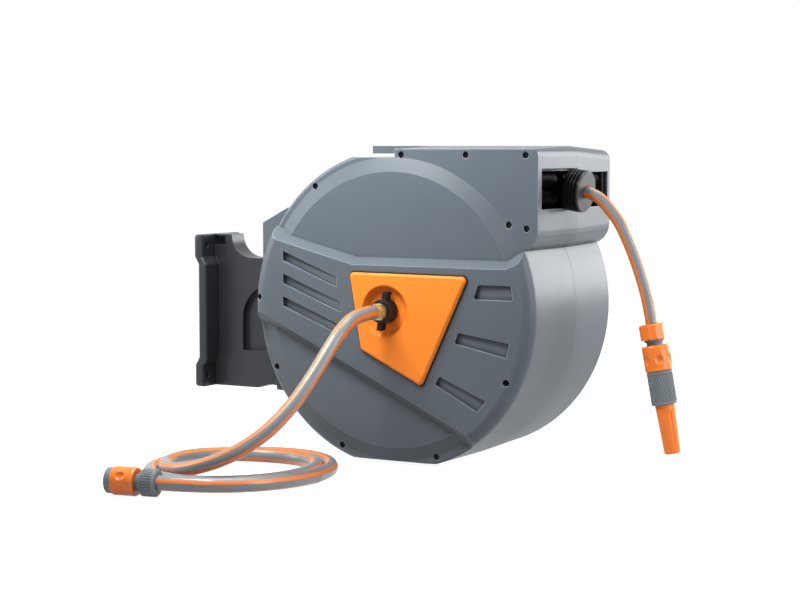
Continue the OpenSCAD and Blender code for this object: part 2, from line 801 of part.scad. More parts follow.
module front_shell() {
    color(slate) reel_frame() difference() {
        union() {
            difference() {
                union() {
                    intersection() {
                        rotate_extrude() polygon([[0, 0], [shell_r, 0], [shell_r, front_depth - edge_round],
                            [shell_r - edge_round, front_depth], [dome_foot_r, front_depth], [dome_r, dome_z],
                            [0, dome_z]]);
                        between_flats(0);
                    }
                    belt_form();
                    difference() {
                        slab(0, front_depth) house_outline(0);
                        above_house(0);
                    }
                }
                intersection() {
                    rod(inner_r, -over, front_depth - wall);
                    between_flats(wall);
                }
                front_hollow();
                difference() {
                    slab(-over, front_depth - wall) house_outline(wall);
                    above_house(wall);
                }
            }
            slab(seat_floor - wall, belt_z - wall)
                round_outline(inset(panel_corners, -2 * wall), panel_corner);
            rod(drum_boss_r, flange_front_z + drum_boss_l / 2 + 3, seat_floor - wall / 2);
            screw_bosses(0, front_depth - wall / 2);
            translate(pawl_at) rod(pawl_boss_r, ratchet_low + ratchet_t + 2, belt_z - wall);
        }
        slab(seat_floor, panel_z)
            round_outline(inset(panel_corners, -panel_gap), panel_corner + panel_gap);
        rod(axle_r + fit, 0, panel_z);
        screw_holes(screw_r + fit, -over, front_depth);
        screw_holes(screw_head_r + seat, screw_head_z - screw_head_t, panel_z);
        translate(pawl_at) rod(pawl_pin_r, 0, pawl_pin_top);
        window_cut(-over, window_front, window_top);
        hinge_slot();
        for (i = [0:len(groove_tops) - 1]) groove(groove_tops[i], groove_ends[i]);
        for (p = pockets) slab(belt_z - pocket_cut, panel_z) round_outline(p, pocket_corner);
    }
}

// Screw bosses that stay inside the casing
module screw_bosses(low, high) {
    for (p = screw_places) translate(p) rod(screw_boss_r, low, high);
}

// Ribs that tie the inner bosses of the rear shell to its wall
module boss_ribs() {
    deep = screw_boss_r - screw_end_z;
    rotate(side_screw_angle) translate([side_screw_r, -2, -deep])
        cube([shell_r - wall / 2 - side_screw_r, 4, deep]);
    translate([house_screws[3][0], house_screws[4][1], -deep])
        cube([house_x - wall / 2 - house_screws[3][0], house_screws[3][1] - house_screws[4][1], deep]);
}

// Rear half, drawn in by d: the round body and the outlet housing, both rounded at the back
module rear_body(d) {
    start = d > 0 ? over : 0;
    back = -(rear_depth - d);
    turns = [[back + rear_round, 0], [back + 0.3 * rear_round, 0.3 * rear_round], [back, rear_round]];
    intersection() {
        rotate_extrude() polygon(concat([[0, start], [shell_r - d, start]],
            [for (t = turns) [shell_r - rear_taper - d - t[1], t[0]]], [[0, back]]));
        between_flats(d);
    }
    loft([turns[2][0], turns[1][0], turns[0][0], start],
        concat([for (i = [2:-1:0]) house_points(d, rear_taper + turns[i][1], 2 * rear_taper + turns[i][1])],
            [house_points(d)]));
}

module rear_shell() {
    color(slate) reel_frame() difference() {
        union() {
            difference() {
                rear_body(0);
                rear_body(wall);
            }
            screw_bosses(screw_end_z - screw_boss_r, 0);
            boss_ribs();
            rod(drum_boss_r, -rear_depth + wall / 2, -flange_rear_z - drum_boss_l / 2 - 3);
            translate([grip_left, grip_low, -grip_w])
                cube([house_left - grip_left + wall, grip_top - grip_low, grip_w]);
            translate([grip_left + grip_rib, flat_half - wall / 2, -grip_w])
                cube([house_left - grip_left - grip_rib, grip_low - flat_half + wall, wall]);
        }
        rod(axle_r + fit, axle_back - seat, over);
        screw_holes(screw_r + fit, screw_end_z - seat, over);
        window_cut(-window_back, over, window_top - 2 * rear_taper);
        hinge_slot();
    }
}

module shell_screws() {
    color(black) reel_frame() for (p = screw_places) translate(p) difference() {
        union() {
            rod(screw_r, screw_end_z, screw_head_z - screw_head_t + 0.5);
            rod(screw_head_r, screw_head_z - screw_head_t, screw_head_z);
        }
        for (a = [0, 90]) rotate(a) translate([-2.2, -0.5, screw_head_z - 1.5]) cube([4.4, 1, 3]);
    }
}

module inlet_panel() {
    edge = round_points(panel_corners, panel_corner);
    face = round_points(inset(panel_corners, panel_bevel), panel_corner);
    color(orange) reel_frame() difference() {
        loft([panel_back, panel_z - panel_bevel, panel_z], [edge, edge, face]);
        rotate_extrude() polygon([[0, dish_floor], [dish_r - 6, dish_floor], [dish_r - 2, panel_z - 2.5],
            [dish_r, panel_z], [dish_r, panel_z + over], [0, panel_z + over]]);
        rod(axle_r + seat, panel_back - over, panel_z);
    }
}

// Axle, seals and inlet
module axle_tube() {
    color(steel) reel_frame() difference() {
        rod(axle_r, axle_back, axle_front);
        rod(axle_bore_r, port_z - port_r, axle_front + over);
        translate([0, 0, port_z]) rotate([0, 90, 0]) rod(port_r, -axle_r - over, axle_r + over);
        for (z = seal_zs) tube(axle_r + over, axle_r - 2 * seal_r, z - seal_r, z + seal_r);
    }
}

module axle_seals() {
    color(black) reel_frame() for (z = seal_zs) translate([0, 0, z])
        rotate_extrude() translate([axle_r - seal_r, 0]) circle(seal_r, $fn = 32);
}

module inlet_fitting() {
    color(brass) reel_frame() difference() {
        union() {
            rod(axle_bore_r - fit, axle_front - 16, axle_front + over);
            rod(stem_r, axle_front, hex_low + 0.5);
            translate([0, 0, hex_low]) cylinder(r = hex_af / sqrt(3), h = hex_t, $fn = 6);
            rod(ferrule_r, ferrule_low - 0.5, inlet_end);
        }
        rod(axle_bore_r - 2, axle_front - 17, inlet_end + over);
    }
}

module wing_nut() {
    color(black) reel_frame() difference() {
        union() {
            rotate_extrude() polygon([[0, nut_low], [nut_r, nut_low], [nut_r, nut_low + nut_l - 5],
                [nut_r - 1.5, nut_low + nut_l - 3], [nut_r - 1.5, nut_low + nut_l], [0, nut_low + nut_l]]);
            for (a = [0, 180]) rotate(a + wing_turn) translate([-wing_w / 2, 0, nut_low + 2])
                cube([wing_w, nut_r + wing_reach, nut_l - 8]);
        }
        rod(stem_r + fit, nut_low - over, nut_low + nut_l + over);
    }
}

// Drum
module drum_hub() {
    color(charcoal) reel_frame() tube(hub_r, hub_r - hub_t, -flange_rear_z, flange_front_z);
}

module drum_flange_front() {
    color(charcoal) reel_frame() tube(flange_r, drum_boss_r, flange_front_z, flange_front_z + flange_t);
}

module drum_flange_rear() {
    color(charcoal) reel_frame() tube(flange_r, drum_boss_r, -flange_rear_z - flange_t, -flange_rear_z);
}

// Hub bushes in the flanges, turning on the axle
module drum_bushes() {
    color(steel) reel_frame() {
        tube(drum_boss_r, axle_r + fit, flange_front_z - drum_boss_l / 2, flange_front_z + drum_boss_l / 2);
        tube(drum_boss_r, axle_r + fit, -flange_rear_z - drum_boss_l / 2, -flange_rear_z);
    }
}

module hose_winding() {
    color(hose_grey) reel_frame()
        tube(winding_r, hub_r + seat, -flange_rear_z + seat, flange_front_z - seat);
}

module swivel_body() {
    color(brass) reel_frame() difference() {
        union() {
            rod(swivel_r, swivel_low, swivel_top);
            translate([0, 0, port_z]) rotate([0, 90, 0]) rod(port_r + 4, 0, hub_r - hub_t - seat);
        }
        rod(axle_r + fit, swivel_low - over, swivel_top + over);
        translate([0, 0, port_z]) rotate([0, 90, 0]) rod(port_r, 0, hub_r);
    }
}

module spring_case() {
    color(charcoal) reel_frame() difference() {
        rod(spring_case_r, spring_floor, spring_lid);
        rod(spring_case_r - spring_case_t, spring_floor + spring_case_t, spring_lid + over);
        rod(drum_boss_r + seat, spring_floor - over, spring_lid);
    }
}

module spring_cover() {
    color(charcoal) reel_frame() tube(spring_case_r, arbor_r + 2, spring_lid, spring_lid + 3);
}

// Spiral strip from the arbor to the case
module mainspring() {
    steps = 24 * spring_turns;
    pitch = (spring_out - spring_t - spring_in) / steps;
    function at(i, r) = (spring_in + pitch * i + r) * [cos(15 * i), sin(15 * i)];
    color(steel) reel_frame() slab(spring_low, spring_low + spring_h)
        polygon(concat([for (i = [0:steps]) at(i, 0)], [for (i = [steps:-1:0]) at(i, spring_t)]));
}

module spring_arbor() {
    color(steel) reel_frame() tube(arbor_r, axle_r, spring_low, spring_low + spring_h);
}

module ratchet_wheel() {
    step = 360 / ratchet_teeth;
    root = ratchet_r - tooth_h;
    color(steel) reel_frame() slab(ratchet_low, ratchet_low + ratchet_t) difference() {
        polygon([for (i = [0:ratchet_teeth - 1]) each [
            ratchet_r * [cos(i * step), sin(i * step)],
            root * [cos((i + 0.15) * step), sin((i + 0.15) * step)]]]);
        circle(root - 18);
    }
}

// Pawl: its nose rides just clear of the tooth tips
module pawl() {
    nose = ratchet_r + seat;
    color(steel) reel_frame() difference() {
        translate([0, 0, ratchet_low + 0.5]) linear_extrude(pawl_t) difference() {
            union() {
                translate(pawl_at) circle(pawl_boss_r);
                polygon([pawl_at + 6 * [cos(pawl_angle), sin(pawl_angle)],
                    pawl_at - 5 * [cos(pawl_angle), sin(pawl_angle)],
                    (nose + 3) * [cos(pawl_angle - 20), sin(pawl_angle - 20)],
                    (nose + 9) * [cos(pawl_angle - 21), sin(pawl_angle - 21)]]);
            }
            circle(nose);
        }
        translate(pawl_at) rod(pawl_pin_r + fit, 0, belt_z);
    }
}

module pawl_pin() {
    color(steel) reel_frame() translate(pawl_at) rod(pawl_pin_r, ratchet_low + 0.5, pawl_pin_top);
}

module pawl_spring() {
    color(steel) reel_frame() translate([pawl_at[0], pawl_at[1], ratchet_low + ratchet_t + 0.9])
        rotate_extrude() translate([pawl_pin_r + 1.5, 0]) circle(0.8, $fn = 24);
}

// Roller cage behind the outlet window
module outlet_frame() {
    deep = frame_front - frame_back - 2 * frame_t;
    color(black) reel_frame() difference() {
        translate([frame_x0, frame_low, frame_back])
            cube([frame_x1 - frame_x0, frame_top - frame_low, frame_front - frame_back]);
        translate([frame_x0 - over, frame_low + frame_t / 2, frame_back + frame_t])
            cube([frame_x1 - frame_x0 + over - frame_lip, frame_top - frame_low - frame_t, deep]);
        translate([frame_x0, frame_low + frame_t / 2, frame_back + frame_t])
            cube([house_x, window_top - frame_low - frame_t, deep]);
        for (y = [upper_roller_y, lower_roller_y]) translate([roller_x, y, 0])
            rod(pin_r + fit, frame_back - over, frame_front + over);
        for (z = [front_post_z, rear_post_z]) translate([post_x, 0, z]) rotate([-90, 0, 0])
            rod(pin_r + fit, frame_low - over, frame_top + over);
    }
}

// Level roller with fine ribs and a waist where the hose runs
module level_roller(y) {
    low = frame_back + frame_t + 0.5;
    high = frame_front - frame_t - 0.5;
    rib = 5;
    color(black) reel_frame() translate([roller_x, y, 0]) difference() {
        rod(roller_r, low, high);
        for (z = [low + rib:rib:high - 2]) tube(roller_r + over, roller_r - 1.2, z - 1, z + 1);
        tube(roller_r + over, roller_waist_r, hose_z - roller_waist / 2, hose_z + roller_waist / 2);
        rod(pin_r + fit, low - over, high + over);
    }
}

module upper_roller() {
    level_roller(upper_roller_y);
}

module lower_roller() {
    level_roller(lower_roller_y);
}

module post_roller(z) {
    low = frame_low + frame_t / 2 + 0.5;
    high = frame_top - frame_t / 2 - 0.5;
    color(black) reel_frame() translate([post_x, 0, z]) rotate([-90, 0, 0])
        tube(post_r, pin_r + fit, low, high);
}

module front_roller() {
    post_roller(front_post_z);
}

module rear_roller() {
    post_roller(rear_post_z);
}

module roller_pins() {
    color(steel) reel_frame() {
        for (y = [upper_roller_y, lower_roller_y]) translate([roller_x, y, 0])
            rod(pin_r, frame_back, frame_front);
        for (z = [front_post_z, rear_post_z]) translate([post_x, 0, z]) rotate([-90, 0, 0])
            rod(pin_r, frame_low, frame_top);
    }
}

// Working hose with its stop, coupler and nozzle
module outlet_hose() {
    color(hose_grey) translate([reel_x, 0, reel_z])
        hose([for (p = outlet_route) [p[0], -hose_z, p[1]]], hose_d, [0, 1, 0]);
}

module stop_frame() {
    reel_frame() translate([stop_at[0], stop_at[1], hose_z])
        rotate([0, 0, -stop_tilt]) rotate([0, 90, 0]) children();
}

module hose_stop() {
    rib = (stop_l - disc_t) / (stop_ribs + 1);
    color(black) stop_frame() difference() {
        rotate_extrude() polygon([[0, 0], [stop_r - 4, 0], [stop_r, 4], [stop_r, stop_l - disc_t],
            [0, stop_l - disc_t]]);
        for (i = [1:stop_ribs]) tube(stop_r + over, stop_r - 2, i * rib + 0.6, i * rib + 2.6);
        rod(stop_bore_r, -over, stop_l);
    }
}

module stop_disc() {
    color("#7d8083") stop_frame() difference() {
        rotate_extrude() polygon([[0, stop_l - disc_t], [stop_r - 0.5, stop_l - disc_t],
            [stop_r - 0.5, stop_l - 1], [stop_r - 1.5, stop_l], [0, stop_l]]);
        rod(stop_bore_r, stop_l - disc_t - over, stop_l + over);
    }
}

// Nozzle axis, z along the flow
module nozzle_frame() {
    reel_frame() translate([nozzle_at[0], nozzle_at[1], hose_z])
        rotate([0, 0, nozzle_lean]) rotate([90, 0, 0]) children();
}

// Hose nut with grip flats
module grip_nut(flats) {
    difference() {
        rotate_extrude() polygon([[0, 0], [hose_nut_r - 2, 0], [hose_nut_r, 2], [hose_nut_r, hose_nut_l - 1],
            [hose_nut_r - 1, hose_nut_l], [0, hose_nut_l]]);
        for (i = [0:flats - 1]) rotate(360 / flats * i) translate([hose_nut_r - 0.9, -hose_nut_r, -over])
            cube([hose_nut_r, 2 * hose_nut_r, hose_nut_l + 2 * over]);
        rod(core_r, -over, hose_nut_l + over);
    }
}

// Fine grooves along a grip of radius r
module grip_grooves(count, r, low, high) {
    for (i = [0:count - 1]) rotate(360 / count * i) translate([r, 0, low])
        cylinder(r = 0.7, h = high - low, $fn = 4);
}

// Hose nut with fine grooves
module ribbed_nut(ribs) {
    difference() {
        rotate_extrude() polygon([[0, 0], [hose_nut_r - 2, 0], [hose_nut_r, 2], [hose_nut_r, hose_nut_l - 1],
            [hose_nut_r - 1, hose_nut_l], [0, hose_nut_l]]);
        grip_grooves(ribs, hose_nut_r, 3, hose_nut_l - 2);
        rod(core_r, -over, hose_nut_l + over);
    }
}

// Quick coupler body: neck, and the core that the collar slides on
module coupler_core(length) {
    difference() {
        union() {
            rod(core_r, 0, length);
            rod(neck_r, hose_nut_l, hose_nut_l + neck_l - collar_travel - seat);
        }
        rod(core_r - 3, 3, length + over);
    }
}

// Release collar with finger dimples
module grip_collar(length) {
    dimples = 6;
    end = collar_low + length;
    difference() {
        rotate_extrude() polygon([[0, collar_low], [collar_r - 1, collar_low], [collar_r, collar_low + 2],
            [collar_r, end - 1], [collar_r - 1, end], [0, end]]);
        rod(core_r + fit, collar_low - over, end + over);
        for (i = [0:dimples - 1]) rotate(360 / dimples * i)
            translate([collar_r + 6, 0, collar_low + 0.55 * length]) sphere(8.5, $fn = 48);
    }
}

module hose_nut() {
    color(orange) nozzle_frame() grip_nut(10);
}

module coupler_body() {
    color(hose_grey) nozzle_frame() coupler_core(sleeve_low);
}

module coupler_collar() {
    color(orange) nozzle_frame() grip_collar(collar_l);
}

module nozzle_sleeve() {
    ribs = 30;
    color(hose_grey) nozzle_frame() difference() {
        rod(sleeve_r, sleeve_low, tip_low);
        grip_grooves(ribs, sleeve_r, sleeve_low + 3, tip_low - 3);
        rod(tip_root_r + fit, tip_low - tip_root - 1, tip_low + over);
        rod(tip_bore_r, sleeve_low - over, tip_low);
    }
}

module nozzle_tip() {
    flutes = 3;
    color(orange) nozzle_frame() difference() {
        union() {
            rod(tip_root_r, tip_low - tip_root, tip_low + over);
            rotate_extrude() polygon([[0, tip_low + seat], [tip_r, tip_low + seat],
                [tip_end_r, tip_low + tip_l - 1.5], [tip_end_r - 1.5, tip_low + tip_l], [0, tip_low + tip_l]]);
        }
        rod(tip_bore_r, tip_low - tip_root - over, tip_low + tip_l + over);
        for (i = [0:flutes - 1]) rotate(360 / flutes * i + 40) translate([tip_r + 1.5, 0, tip_low + 8])
            rotate([0, -2, 0]) cylinder(r = 2.6, h = tip_l - 20, $fn = 24);
    }
}

// Leader hose with its tap coupler
module leader_hose() {
    color(hose_grey) translate([reel_x, 0, reel_z]) hose(leader_route, leader_d, [1, 0, 0]);
}

// Tap coupler axis, z along the flow from the hose to the tap
module tap_frame() {
    translate([reel_x + tap_at[0], tap_at[1], reel_z + tap_z])
        rotate([0, 0, tap_turn]) rotate([0, 90, 0]) children();
}

module leader_nut() {
    color(hose_grey) tap_frame() ribbed_nut(32);
}

module leader_body() {
    end_low = collar_low + tap_collar_l + seat;
    color(hose_grey) tap_frame() union() {
        coupler_core(end_low + 0.5);
        tube(tap_end_r, core_r - 3, end_low, end_low + tap_end_l);
    }
}

module leader_collar() {
    color(orange) tap_frame() grip_collar(tap_collar_l);
}

wall_bracket();
pivot_rod();
lock_pin();
pivot_bushes();
hinge_block();
front_shell();
rear_shell();
shell_screws();
inlet_panel();
axle_tube();
axle_seals();
inlet_fitting();
wing_nut();
drum_hub();
drum_flange_front();
drum_flange_rear();
drum_bushes();
hose_winding();
swivel_body();
spring_case();
spring_cover();
mainspring();
spring_arbor();
ratchet_wheel();
pawl();
pawl_pin();
pawl_spring();
outlet_frame();
upper_roller();
lower_roller();
front_roller();
rear_roller();
roller_pins();
outlet_hose();
hose_stop();
stop_disc();
hose_nut();
coupler_body();
coupler_collar();
nozzle_sleeve();
nozzle_tip();
leader_hose();
leader_nut();
leader_body();
leader_collar();
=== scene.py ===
# %% [markdown]
# # A wall mounted hose reel
# The imported part is already a full set of solids: casing, bracket, hinge, drum, rollers and couplers.
# This lesson dresses it. Most rigid pieces keep their shapes and get finishes, which also paint a
# highlight on their outer edges and shade in their inner corners. The hoses, which are soft, are drawn
# again as striped and braided tubes, and a few pieces get a finer form: the bracket's edges, the grip
# of the nozzle, a black boot on the hose that stands in for shade, and a seal round the panel.

import math

import bmesh
import bpy
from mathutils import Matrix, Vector


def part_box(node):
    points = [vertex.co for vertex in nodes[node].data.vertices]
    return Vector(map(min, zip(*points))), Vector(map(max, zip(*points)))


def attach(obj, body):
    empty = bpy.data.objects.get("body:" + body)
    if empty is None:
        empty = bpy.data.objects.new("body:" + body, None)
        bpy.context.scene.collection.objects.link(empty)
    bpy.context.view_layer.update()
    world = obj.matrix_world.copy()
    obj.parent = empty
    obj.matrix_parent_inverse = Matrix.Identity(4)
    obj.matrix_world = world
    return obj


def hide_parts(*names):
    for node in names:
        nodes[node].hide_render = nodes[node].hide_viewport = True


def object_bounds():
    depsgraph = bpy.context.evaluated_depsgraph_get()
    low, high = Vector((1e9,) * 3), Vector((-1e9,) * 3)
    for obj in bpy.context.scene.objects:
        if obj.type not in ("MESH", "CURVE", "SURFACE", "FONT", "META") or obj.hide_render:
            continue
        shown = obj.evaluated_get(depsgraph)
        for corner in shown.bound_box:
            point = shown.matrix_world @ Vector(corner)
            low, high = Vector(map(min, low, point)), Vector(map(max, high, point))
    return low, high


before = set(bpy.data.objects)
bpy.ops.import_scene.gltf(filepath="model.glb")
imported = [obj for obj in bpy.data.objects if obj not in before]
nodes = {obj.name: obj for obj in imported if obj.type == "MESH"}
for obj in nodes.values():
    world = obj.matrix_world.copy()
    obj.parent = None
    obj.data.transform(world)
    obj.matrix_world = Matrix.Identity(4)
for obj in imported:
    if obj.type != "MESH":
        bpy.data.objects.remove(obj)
cad_low, cad_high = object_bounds()
scene = bpy.context.scene
scene.view_settings.view_transform = "Standard"
print("loaded", len(nodes), "pieces, box", [round(v, 3) for v in cad_high - cad_low])

# %% [markdown]
# ## The camera
# A product photograph is taken from far off with a long lens, so that round things stay round.
# The camera could be placed by eye, but here its place was worked out once from the casing's edges,
# and it is written down as a point, a turn to the side and a small tilt downwards.

# %% Place the camera
camera_at = (1.5348, -2.1902, 0.2158)
side_turn, down_tilt = 29.7, 4.4
lens_length, film_width = 90.27, 36


def new_object(name, data):
    """An object that shows the data, linked into the scene."""
    made = bpy.data.objects.new(name, data)
    scene.collection.objects.link(made)
    return made


camera_data = bpy.data.cameras.new("camera")
camera_data.lens = lens_length
camera_data.sensor_width = film_width
camera = new_object("camera", camera_data)
camera.location = camera_at
camera.rotation_euler = (math.radians(90 - down_tilt), 0, math.radians(side_turn))
scene.camera = camera
print("camera", [round(v, 3) for v in camera.location], "lens", camera_data.lens)

# %% [markdown]
# ## The run of the two hoses
# A hose is a fixed length of something springy. The working hose leaves the rollers, goes through its
# stop and hangs down to the nozzle. The leader hose falls from the inlet in two wide bends, lies in
# loose turns, and runs to its coupler. No bend is tighter than four times the hose's width.
# A curve object with a bevel would be quick, but it can't carry stripes that run along it. So each
# route is a row of points, and a smooth curve is passed through them before a tube is wrapped round it.

# %% Routes about the drum axis, in millimetres
axis_at = Vector((0.337, 0.0, 0.019))
outlet_plane = -27.5
outlet_line = [(30, 146), (60, 146), (95, 146), (130, 146), (160, 146), (178, 146.6), (193, 145.8),
               (206, 144), (219, 141.8), (234, 135), (248, 121), (261, 104), (275, 76), (286, 48),
               (294, 23), (298.3, 4.7), (301, -10)]
inlet_end, lie, tap_z = 153.6, -179.5, -172.0
tap_place, tap_turn, tap_straight = Vector((-111.2, 276.5)), math.radians(190.7), 10.0
fall_first = [Vector(p) for p in ((0, 14, 0), (0, 78.8, 0), (1.2, 93.1, 0.212 * lie),
                                  (-17.3, 146, 0.51 * lie))]
fall_hold = Vector((-46.2, 228.3, 0.974 * lie))
landing_hold, leaving_hold, tap_hold = 103.5, 22.9, 101.1
turn_centre, turn_radii, turn_pitch = Vector((-118.5, 112.5)), (106.5, 122.5), 18.3
turn_from, turn_to, turn_step = 165, 717, 24
radii_at_turn, landing_lift, sink_degrees = 2, 7, 115


def turn_place(degrees):
    """A place on the loose turns, which grow outwards like a spiral."""
    grown = turn_pitch * (degrees / 360 - radii_at_turn)
    angle = math.radians(degrees)
    return turn_centre + Vector(((turn_radii[0] + grown) * math.cos(angle),
                                 (turn_radii[1] + grown) * math.sin(angle)))


def turn_way(degrees):
    return (turn_place(degrees + 0.5) - turn_place(degrees - 0.5)).normalized()


def turn_z(degrees):
    """The hose is still a little up where it lands, and sinks in the first third of a turn."""
    sunk = min(1, (degrees - turn_from) / sink_degrees)
    return lie + landing_lift * (1 + math.cos(math.pi * sunk)) / 2


def bend_place(p, t):
    """A place on the curve that leaves p[0] towards p[1] and comes to p[3] from p[2]."""
    u = 1 - t
    return u ** 3 * p[0] + 3 * t * u ** 2 * p[1] + 3 * t ** 2 * u * p[2] + t ** 3 * p[3]


def raised(place, height):
    return Vector((place.x, place.y, height))


def from_axis(x, y, z):
    """A point given in millimetres about the drum axis, in the part's own frame in metres."""
    return axis_at + Vector((x, y, z)) / 1000


# %% The two routes as rows of points
first_steps, bend_steps = 5, 8
tap_way = Vector((math.cos(tap_turn), -math.sin(tap_turn)))
landing, leaving = turn_place(turn_from), turn_place(turn_to)
landing_z = turn_z(turn_from)
fall_second = [fall_first[3], fall_hold,
               raised(landing - landing_hold * turn_way(turn_from), landing_z),
               raised(landing, landing_z)]
run_end = tap_place - 2 * tap_straight * tap_way
run_bend = [raised(leaving, lie), raised(leaving + leaving_hold * turn_way(turn_to), lie),
            raised(run_end - tap_hold * tap_way, tap_z), raised(run_end, tap_z)]
leader_places = [Vector((0, 0, 0)), fall_first[0] / 2]
leader_places += [bend_place(fall_first, i / first_steps) for i in range(first_steps + 1)]
leader_places += [bend_place(fall_second, i / bend_steps) for i in range(1, bend_steps)]
leader_places += [raised(turn_place(a), turn_z(a)) for a in range(turn_from, turn_to + 1, turn_step)]
leader_places += [bend_place(run_bend, i / bend_steps) for i in range(1, bend_steps + 1)]
leader_places += [raised(tap_place - i * tap_straight * tap_way, tap_z) for i in (1, 0)]
outlet_points = [from_axis(x, outlet_plane, z) for x, z in outlet_line]
leader_points = [from_axis(p.x, -inlet_end - p.y, p.z) for p in leader_places]
print("route points:", len(outlet_points), "and", len(leader_points))

# %% A smooth curve through the points of a route
route_steps = 10


def smooth_route(points, steps):
    """Short straight steps along a curve that passes through every point."""
    out = []
    last = len(points) - 1
    for i in range(last):
        a, b = points[max(i - 1, 0)], points[i]
        c, d = points[i + 1], points[min(i + 2, last)]
        for k in range(steps):
            t = k / steps
            out.append(0.5 * (2 * b + (c - a) * t + (2 * a - 5 * b + 4 * c - d) * t ** 2
                              + (3 * b - a - 3 * c + d) * t ** 3))
    return out + [points[last]]


def run_length(path):
    return sum((b - a).length for a, b in zip(path, path[1:]))


outlet_path = smooth_route(outlet_points, route_steps)
leader_path = smooth_route(leader_points, route_steps)
print("lengths in metres:", round(run_length(outlet_path), 3), round(run_length(leader_path), 3))

# %% [markdown]
# ## The hose tubes
# A garden hose is extruded: a soft tube, a layer of braid and a clear outer skin with coloured stripes.
# The tube is made ring by ring. A side vector is carried along the curve without twisting, so that the
# stripes stay straight as they do on a real hose. Faces that lie in a stripe get the second material,
# and the UV map holds the place round the hose and the metres along it, for the braid.


# %% Rings of points and the faces between them
def round_angles(sides):
    return [2 * math.pi * k / sides for k in range(sides)]


def ring_faces(rings, sides, closed=True):
    """Faces from each ring of points to the next. A closed run joins the last ring to the first."""
    return [(i * sides + k, i * sides + (k + 1) % sides,
             (i + 1) % rings * sides + (k + 1) % sides, (i + 1) % rings * sides + k)
            for i in range(rings if closed else rings - 1) for k in range(sides)]


# %% Wrap a tube round a route
def hose_tube(name, path, diameter, side, stripes, first, width, sides=48):
    """A tube with stripes, which start at the first degree round it and are width degrees wide."""
    ring = []
    side = Vector(side)
    for i in range(len(path)):
        ahead = (path[min(i + 1, len(path) - 1)] - path[max(i - 1, 0)]).normalized()
        side = (side - side.dot(ahead) * ahead).normalized()
        ring.append((path[i], side.copy(), ahead.cross(side)))
    verts = [p + diameter / 2 * (math.cos(a) * u + math.sin(a) * v)
             for p, u, v in ring for a in round_angles(sides)]
    faces = ring_faces(len(path), sides, closed=False)
    ends = [tuple(range(sides - 1, -1, -1)), tuple(range(len(verts) - sides, len(verts)))]
    mesh = bpy.data.meshes.new(name)
    mesh.from_pydata(verts, [], faces + ends)
    along = [0.0]
    for a, b in zip(path, path[1:]):
        along.append(along[-1] + (b - a).length)
    uv = mesh.uv_layers.new(name="hose")
    for f, poly in enumerate(mesh.polygons):
        on_side = f < len(faces)
        i, k = divmod(f, sides) if on_side else (0, 0)
        in_stripe = ((k + 0.5) * 360 / sides - first) % (360 / stripes) < width
        poly.use_smooth = on_side
        poly.material_index = int(in_stripe and on_side)
        for corner, (du, dv) in zip(poly.loop_indices, ((0, 0), (1, 0), (1, 1), (0, 1))):
            uv.data[corner].uv = ((k + du) / sides, along[i + dv])
    return new_object(name, mesh)


outlet = hose_tube("outlet_hose_skin", outlet_path, 0.014, (0, 1, 0), stripes=3, first=59, width=56)
leader = hose_tube("leader_hose_skin", leader_path, 0.017, (1, 0, 0), stripes=4, first=78, width=30)
print("hose faces:", len(outlet.data.polygons), len(leader.data.polygons))

# %% [markdown]
# ## The hose on the drum
# Inside the casing some twenty metres of the working hose are wound on the drum, side by side, in three
# layers. One long helix shows that better than a plain block: it goes along the hub, climbs one layer
# at the flange and comes back. It turns with the drum, so it is a piece of its own.

# %% Wind the hose on the drum
drum_low, drum_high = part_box("hose_winding")
layer_radii = (0.1043, 0.1179, 0.1315)
layer_rise, end_room, wound_width = 0.0136, 0.0068, 0.0132
turns_each, turn_points, climb_part = 10, 24, 6
first_end, last_end = drum_low.y + end_room, drum_high.y - end_room
wound_path = []
for layer, radius in enumerate(layer_radii):
    climbs = layer + 1 < len(layer_radii)
    for i in range(turns_each * turn_points + 1):
        share = i / (turns_each * turn_points)
        along = first_end + (last_end - first_end) * (share if layer % 2 == 0 else 1 - share)
        climb = max(0, 1 - (1 - share) * turns_each * climb_part) if climbs else 0
        grown = radius + climb * layer_rise
        angle = 2 * math.pi * (share + layer) * turns_each
        wound_path.append(axis_at + Vector((grown * math.cos(angle), along, grown * math.sin(angle))))
wound = hose_tube("wound_hose", wound_path, wound_width, (1, 0, 0), stripes=3, first=60, width=52,
                  sides=10)
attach(wound, "drum")
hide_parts("hose_winding")
print("turns on the drum:", turns_each * len(layer_radii),
      "length", round(run_length(wound_path), 1), "m")

# %% [markdown]
# ## The boot behind the hose stop, and painted shade in the window
# A hose is clamped in its stop, and a soft ribbed boot on the stop's inner side keeps it from kinking
# there. The boot is black and stands in for the shade in the window, and the stretch of hose between
# the rollers is painted black as shade, in the boot's rubber finish. A curve could be spun by a
# modifier, but a short list of radii, turned round the hose, says directly where each rib is.

# %% Turn the boot round the hose
boot_profile = [(521.4, 7.1), (521.4, 8.2), (522.4, 8.8), (523.4, 8.3), (524.6, 9.1), (525.8, 8.6),
                (527.2, 9.6), (529.6, 9.9), (529.6, 7.1)]
boot_height, boot_sides = 0.1651, 48


def ring_piece(name, verts, rings, smooth):
    """A closed body made of rings of points, the last joined to the first."""
    mesh = bpy.data.meshes.new(name)
    mesh.from_pydata(verts, [], ring_faces(rings, len(verts) // rings))
    mesh.polygons.foreach_set("use_smooth", [smooth] * len(mesh.polygons))
    return new_object(name, mesh)


boot_verts = [(x / 1000, (outlet_plane + r * math.cos(a)) / 1000,
               boot_height + r * math.sin(a) / 1000)
              for x, r in boot_profile for a in round_angles(boot_sides)]
# The boot is a black piece that stands in for the shade in the window behind the stop.
boot = ring_piece("shade_boot", boot_verts, len(boot_profile), smooth=True)
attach(boot, "reel")
print("boot:", len(boot.data.polygons), "faces")

